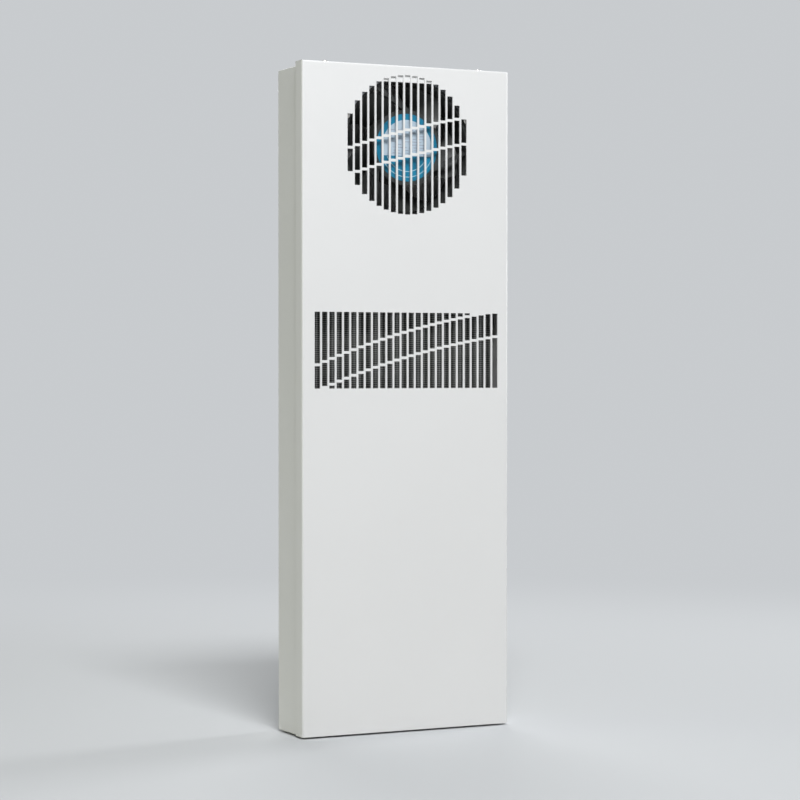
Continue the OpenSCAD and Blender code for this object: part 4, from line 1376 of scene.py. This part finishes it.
@dataclass(frozen=True)
class PanScrew:
    """A pan-head screw with a cross recess, drawn along Z from its head's top at 0."""

    head_r: float = 4.0
    head_h: float = 2.2
    crown_h: float = 1.25
    shank_r: float = 1.97
    crown_steps: int = 6
    turn_steps: int = 28
    pitch: float = 0.7
    thread_start: float = 0.3
    thread_d: float = 0.32
    recess_r: float = 1.75
    recess_w: float = 0.9
    recess_d: float = 1.4
    recess_taper: float = 0.45

    def profile(self, length: float) -> Profile:
        """Draw the screw's outline.

        Args:
            length: Length of the shank.

        Returns:
            The outline as radius and height.
        """
        angles = [QUARTER_TURN * i / self.crown_steps for i in range(self.crown_steps + 1)]
        crown = [(self.head_r * math.sin(a), self.crown_h * (1 - math.cos(a))) for a in angles]
        shank = [(self.head_r, self.head_h), (self.shank_r, self.head_h)]
        for i in range(int((length - self.pitch) / self.pitch)):
            start = self.head_h + (i + self.thread_start) * self.pitch
            shank.append((self.shank_r, start))
            shank.append((self.shank_r - self.thread_d, start + self.pitch / 2))
        end = self.head_h + length
        tip = [(self.shank_r, end - self.pitch), (self.shank_r - self.thread_d, end), (0.0, end)]
        return [*crown, *shank, *tip]

    def mesh(self, length: float) -> BMesh:
        """Turn the screw and sink its cross recess.

        Args:
            length: Length of the shank.

        Returns:
            The screw's mesh.
        """
        solid = lathe(self.profile(length), self.turn_steps, closed=False)
        cutter = bmesh.new()
        for turn in (0, 90):
            box = bmesh.ops.create_cube(cutter, size=2.0)["verts"]
            for vert in box:
                x, y, z = vert.co
                reach = self.recess_r * (1.0 if z < 0 else self.recess_taper)
                vert.co = (x * reach, y * self.recess_w / 2, z * self.recess_d)
            bmesh.ops.rotate(cutter, verts=box, cent=(0, 0, 0),
                             matrix=Matrix.Rotation(math.radians(turn), 3, "Z"))
        return joined(solid, cutter, Join.CUT)


@dataclass(frozen=True)
class ScrewSet:
    """A frame node of screws that all point one way."""

    node: str
    piece: str
    axis: Point
    screw: PanScrew = PanScrew()
    length_digits: int = 2
    crease: float = 30.0

    def build(self) -> Object:
        """Put a detailed screw in the place of each plain one.

        Returns:
            The screws as one piece.
        """
        bm = bmesh.new()
        meshes: dict[float, BMesh] = {}
        for low, high in solid_boxes(self.node):
            way = self.way(low)
            span = abs((high - low).dot(way)) / MM
            length = round(span - self.screw.head_h, self.length_digits)
            if length not in meshes:
                meshes[length] = self.screw.mesh(length)
            head = (low + high) / 2 - way * span * MM / 2
            turn = way.to_track_quat("Z", "Y").to_matrix().to_4x4()
            add_copy(bm, meshes[length], Matrix.Translation(head) @ turn @ Matrix.Scale(MM, 4))
        for mesh in meshes.values():
            mesh.free()
        return settle(bm, self.piece, Body.HOUSING, ZINC_STEEL, [self.node], crease=self.crease)

    def way(self, low: Vector) -> Vector:
        """Return the way a screw points; those above the middle of the unit point down."""
        way = Vector(self.axis)
        return -way if way.z and low.z > 0 else way


@dataclass(frozen=True)
class Fasteners:
    """All screws, and the nuts of the fan screws."""

    nut_edge: float = 0.25

    def build(self) -> None:
        """Build the screws and nuts."""
        for screws in (
            ScrewSet("cover_screws", "cover_pan_screws", (0, 0, 1)),
            ScrewSet("fan_plate_screws", "fan_plate_pan_screws", (0, 1, 0)),
            ScrewSet("chamber_panel_screws", "chamber_pan_screws", (0, 1, 0)),
            ScrewSet("ambient_fan_screws", "ambient_fan_pan_screws", (0, 1, 0)),
            ScrewSet("enclosure_fan_screws", "enclosure_fan_pan_screws", (0, -1, 0)),
        ):
            screws.build()
        Part("fan_screw_nuts", "fan_hex_nuts", ZINC_STEEL, self.nut_edge).build()


@dataclass(frozen=True)
class Electrics:
    """Terminals, capacitors, earth stud, grommet and leads of the lower chamber."""

    bracket_edge: float = 0.3
    block_edge: float = 0.5
    stud_edge: float = 0.3
    clip_edge: float = 0.2
    grommet_edge: float = 0.6
    can_r: float = 12.5
    can_h: float = 52.0
    can_foot: float = 1.5
    can_top: float = 0.8
    crimp_low: float = 7.0
    crimp_high: float = 3.6
    crimp_slope: float = 1.0
    crimp_d: float = 0.9
    lid_inset: float = 2.2
    tip_r: float = 4.0
    tip_h: float = 5.0
    tip_round: float = 0.6

    def build(self) -> None:
        """Build the electrical parts."""
        self.capacitors()
        for part in (
            Part("terminal_bracket", "terminal_bracket_sheet", ZINC_SHEET, self.bracket_edge),
            Part("terminal_block", "terminal_block_moulding", TERMINAL_PLASTIC, self.block_edge),
            Part("terminal_screws", "terminal_clamp_screws", TERMINAL_BRASS, self.stud_edge),
            Part("capacitor_clips", "capacitor_spring_clips", ZINC_SHEET, self.clip_edge),
            Part("earth_stud", "earth_stud_set", TERMINAL_BRASS, self.stud_edge),
            Part("cable_grommet", "cable_grommet_ring", BLACK_RUBBER, self.grommet_edge),
            Part("ambient_fan_lead", "ambient_fan_cable", LEAD_JACKET),
            Part("enclosure_fan_lead", "enclosure_fan_cable", LEAD_JACKET),
        ):
            part.build()

    def capacitors(self) -> Object:
        """Build the cans with their crimped rim and their terminal neck.

        Returns:
            The capacitors as one piece.
        """
        foot_r, neck_r = self.can_r - self.can_foot, self.can_r - self.crimp_d
        low, high = self.can_h - self.crimp_low, self.can_h - self.crimp_high
        lid, tip = self.can_h - self.can_top, self.can_h + self.tip_h
        can = lathe([
            (0.0, 0.0), (foot_r, 0.0),
            *arc_section((foot_r, self.can_foot), self.can_foot, -90, 0),
            (self.can_r, low), (neck_r, low + self.crimp_slope),
            (neck_r, high - self.crimp_slope), (self.can_r, high),
            *arc_section((self.can_r - self.can_top, lid), self.can_top, 0, 90),
            (self.can_r - self.lid_inset, lid), (self.tip_r, lid),
            (self.tip_r, tip - self.tip_round), (self.tip_r - self.tip_round, tip),
            (0.0, tip)], closed=False)
        bm = bmesh.new()
        for low, high in solid_boxes("fan_capacitors"):
            foot = Vector(((low.x + high.x) / 2, (low.y + high.y) / 2, low.z))
            add_copy(bm, can, Matrix.Translation(foot) @ Matrix.Scale(MM, 4))
        can.free()
        return settle(bm, "capacitor_cans", Body.HOUSING, CAPACITOR_CAN, ["fan_capacitors"])


@dataclass(frozen=True)
class Lamp:
    """One soft area lamp, placed in metres."""

    name: str
    place: Point
    aim: Point
    width: float
    height: float
    watts: float
    colour: Colour = (1.0, 1.0, 1.0)

    def build(self) -> None:
        """Hang the lamp and turn it to what it lights."""
        data = bpy.data.lights.new(self.name, "AREA")
        data.shape = "RECTANGLE"
        data.size = self.width
        data.size_y = self.height
        data.energy = self.watts
        data.color = self.colour
        lamp = bpy.data.objects.new(self.name, data)
        lamp.location = self.place
        way = Vector(self.aim) - Vector(self.place)
        lamp.rotation_euler = way.to_track_quat("-Z", "Y").to_euler()
        bpy.context.scene.collection.objects.link(lamp)


@dataclass(frozen=True)
class Studio:
    """Camera, lamps, floor and backdrop, in metres and degrees."""

    camera_at: Point = (-1.1918, -2.4801, 0.0353)
    yaw: float = 26.161
    pitch: float = -0.786
    lens: float = 109.03
    far_limit: float = 60.0
    backdrop: Colour = (0.58, 0.60, 0.62)
    bounce: Colour = (0.72, 0.72, 0.70)
    fill: Colour = (0.93, 0.95, 0.92)
    fill_strength: float = 0.1
    floor_half: float = 14.0
    floor_roughness: float = 0.9
    floor_fade_start: float = 0.5
    floor_fade_end: float = 2.2
    lamps: tuple[Lamp, ...] = (
        Lamp("key_lamp", (-0.5, -1.95, 2.35), (0.0, 0.0, 0.7), 1.0, 0.7, 89.0),
        Lamp("right_lamp", (2.6, 0.5, 0.6), (0.1, -0.04, 0.0), 0.6, 1.2, 30.0),
        Lamp("left_lamp", (-2.2, 0.9, -0.05), (-0.1, 0.0, -0.05), 0.8, 1.4, 6.5, (0.97, 1.0, 0.55)),
        Lamp("rear_lamp", (0.8, 2.4, 0.9), (0.0, 0.0, 0.0), 1.4, 1.2, 26.0),
    )

    def build(self) -> None:
        """Set up everything that isn't part of the object."""
        scene = bpy.context.scene
        scene.view_settings.view_transform = "Standard"
        scene.camera = self.camera()
        for lamp in self.lamps:
            lamp.build()
        scene.world = self.world()
        self.floor()

    def camera(self) -> Object:
        """Make the camera at the photograph's angle.

        Returns:
            The camera.
        """
        data = bpy.data.cameras.new("camera")
        data.lens = self.lens
        data.clip_end = self.far_limit
        camera = bpy.data.objects.new("camera", data)
        camera.location = self.camera_at
        camera.rotation_euler = (math.radians(90 + self.pitch), 0.0, -math.radians(self.yaw))
        bpy.context.scene.collection.objects.link(camera)
        return camera

    def world(self) -> bpy.types.World:
        """Make the soft fill light and the pale backdrop that the camera sees.

        Returns:
            The world.
        """
        world = bpy.data.worlds.new("studio")
        world.use_nodes = True
        tree = world.node_tree
        tree.nodes.clear()
        fill = tree.nodes.new("ShaderNodeBackground")
        fill.inputs["Color"].default_value = (*self.fill, 1.0)
        fill.inputs["Strength"].default_value = self.fill_strength
        seen = tree.nodes.new("ShaderNodeBackground")
        seen.inputs["Color"].default_value = (*self.backdrop, 1.0)
        mixed = tree.nodes.new("ShaderNodeMixShader")
        output = tree.nodes.new("ShaderNodeOutputWorld")
        tree.links.new(self.direct_rays(tree), mixed.inputs[0])
        tree.links.new(fill.outputs[0], mixed.inputs[1])
        tree.links.new(seen.outputs[0], mixed.inputs[2])
        tree.links.new(mixed.outputs[0], output.inputs["Surface"])
        return world

    def direct_rays(self, tree: bpy.types.NodeTree) -> NodeSocket:
        """Return 1 for rays that see the backdrop: those of the camera, of gloss and of glass."""
        path = tree.nodes.new("ShaderNodeLightPath")
        total = path.outputs["Is Camera Ray"]
        for name in ("Is Glossy Ray", "Is Transmission Ray"):
            add = tree.nodes.new("ShaderNodeMath")
            add.operation = "MAXIMUM"
            tree.links.new(total, add.inputs[0])
            tree.links.new(path.outputs[name], add.inputs[1])
            total = add.outputs[0]
        return total

    def floor(self) -> None:
        """Lay a plain pale floor under the object, which fades into the backdrop."""
        low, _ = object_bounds()
        bm = bmesh.new()
        bmesh.ops.create_grid(bm, x_segments=1, y_segments=1, size=self.floor_half)
        bmesh.ops.translate(bm, verts=bm.verts, vec=(0, 0, low.z))
        mesh = bpy.data.meshes.new("floor")
        bm.to_mesh(mesh)
        bm.free()
        mesh.materials.append(self.floor_paint())
        floor = bpy.data.objects.new("floor", mesh)
        bpy.context.scene.collection.objects.link(floor)
        floor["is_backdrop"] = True

    def floor_paint(self) -> Material:
        """Make the floor's paint, which turns into the backdrop far from the object.

        Returns:
            The material.
        """
        graph = Graph("floor_paint")
        direct = self.direct_rays(graph.tree)
        graph.shade(base_color=graph.mix(direct, self.bounce, self.backdrop),
                    roughness=self.floor_roughness)
        far = graph.node("ShaderNodeVectorMath", {0: graph.place}, operation="LENGTH")
        span = {"Value": far.outputs["Value"], "From Min": self.floor_fade_start,
                "From Max": self.floor_fade_end}
        fade = graph.node("ShaderNodeMapRange", span, interpolation_type="SMOOTHERSTEP")
        glow = graph.node("ShaderNodeEmission", {"Color": self.backdrop, "Strength": 1.0})
        factor = graph.maths("MULTIPLY", fade.outputs["Result"], direct)
        parts = {0: factor, 1: graph.shader.outputs[0], 2: glow.outputs[0]}
        mixed = graph.node("ShaderNodeMixShader", parts)
        graph.feed(graph.output.inputs["Surface"], mixed.outputs[0])
        return graph.material


def main() -> None:
    """Build every sub-assembly in order, then the studio round them."""
    logging.basicConfig(level=logging.INFO, format="%(message)s")
    Casing().build()
    Panels().build()
    Core().build()
    Fan("ambient", Body.AMBIENT_ROTOR).build()
    Fan("enclosure", Body.ENCLOSURE_ROTOR).build()
    FingerGuard().build()
    Fasteners().build()
    Electrics().build()
    Studio().build()


if __name__ == "__main__":
    main()
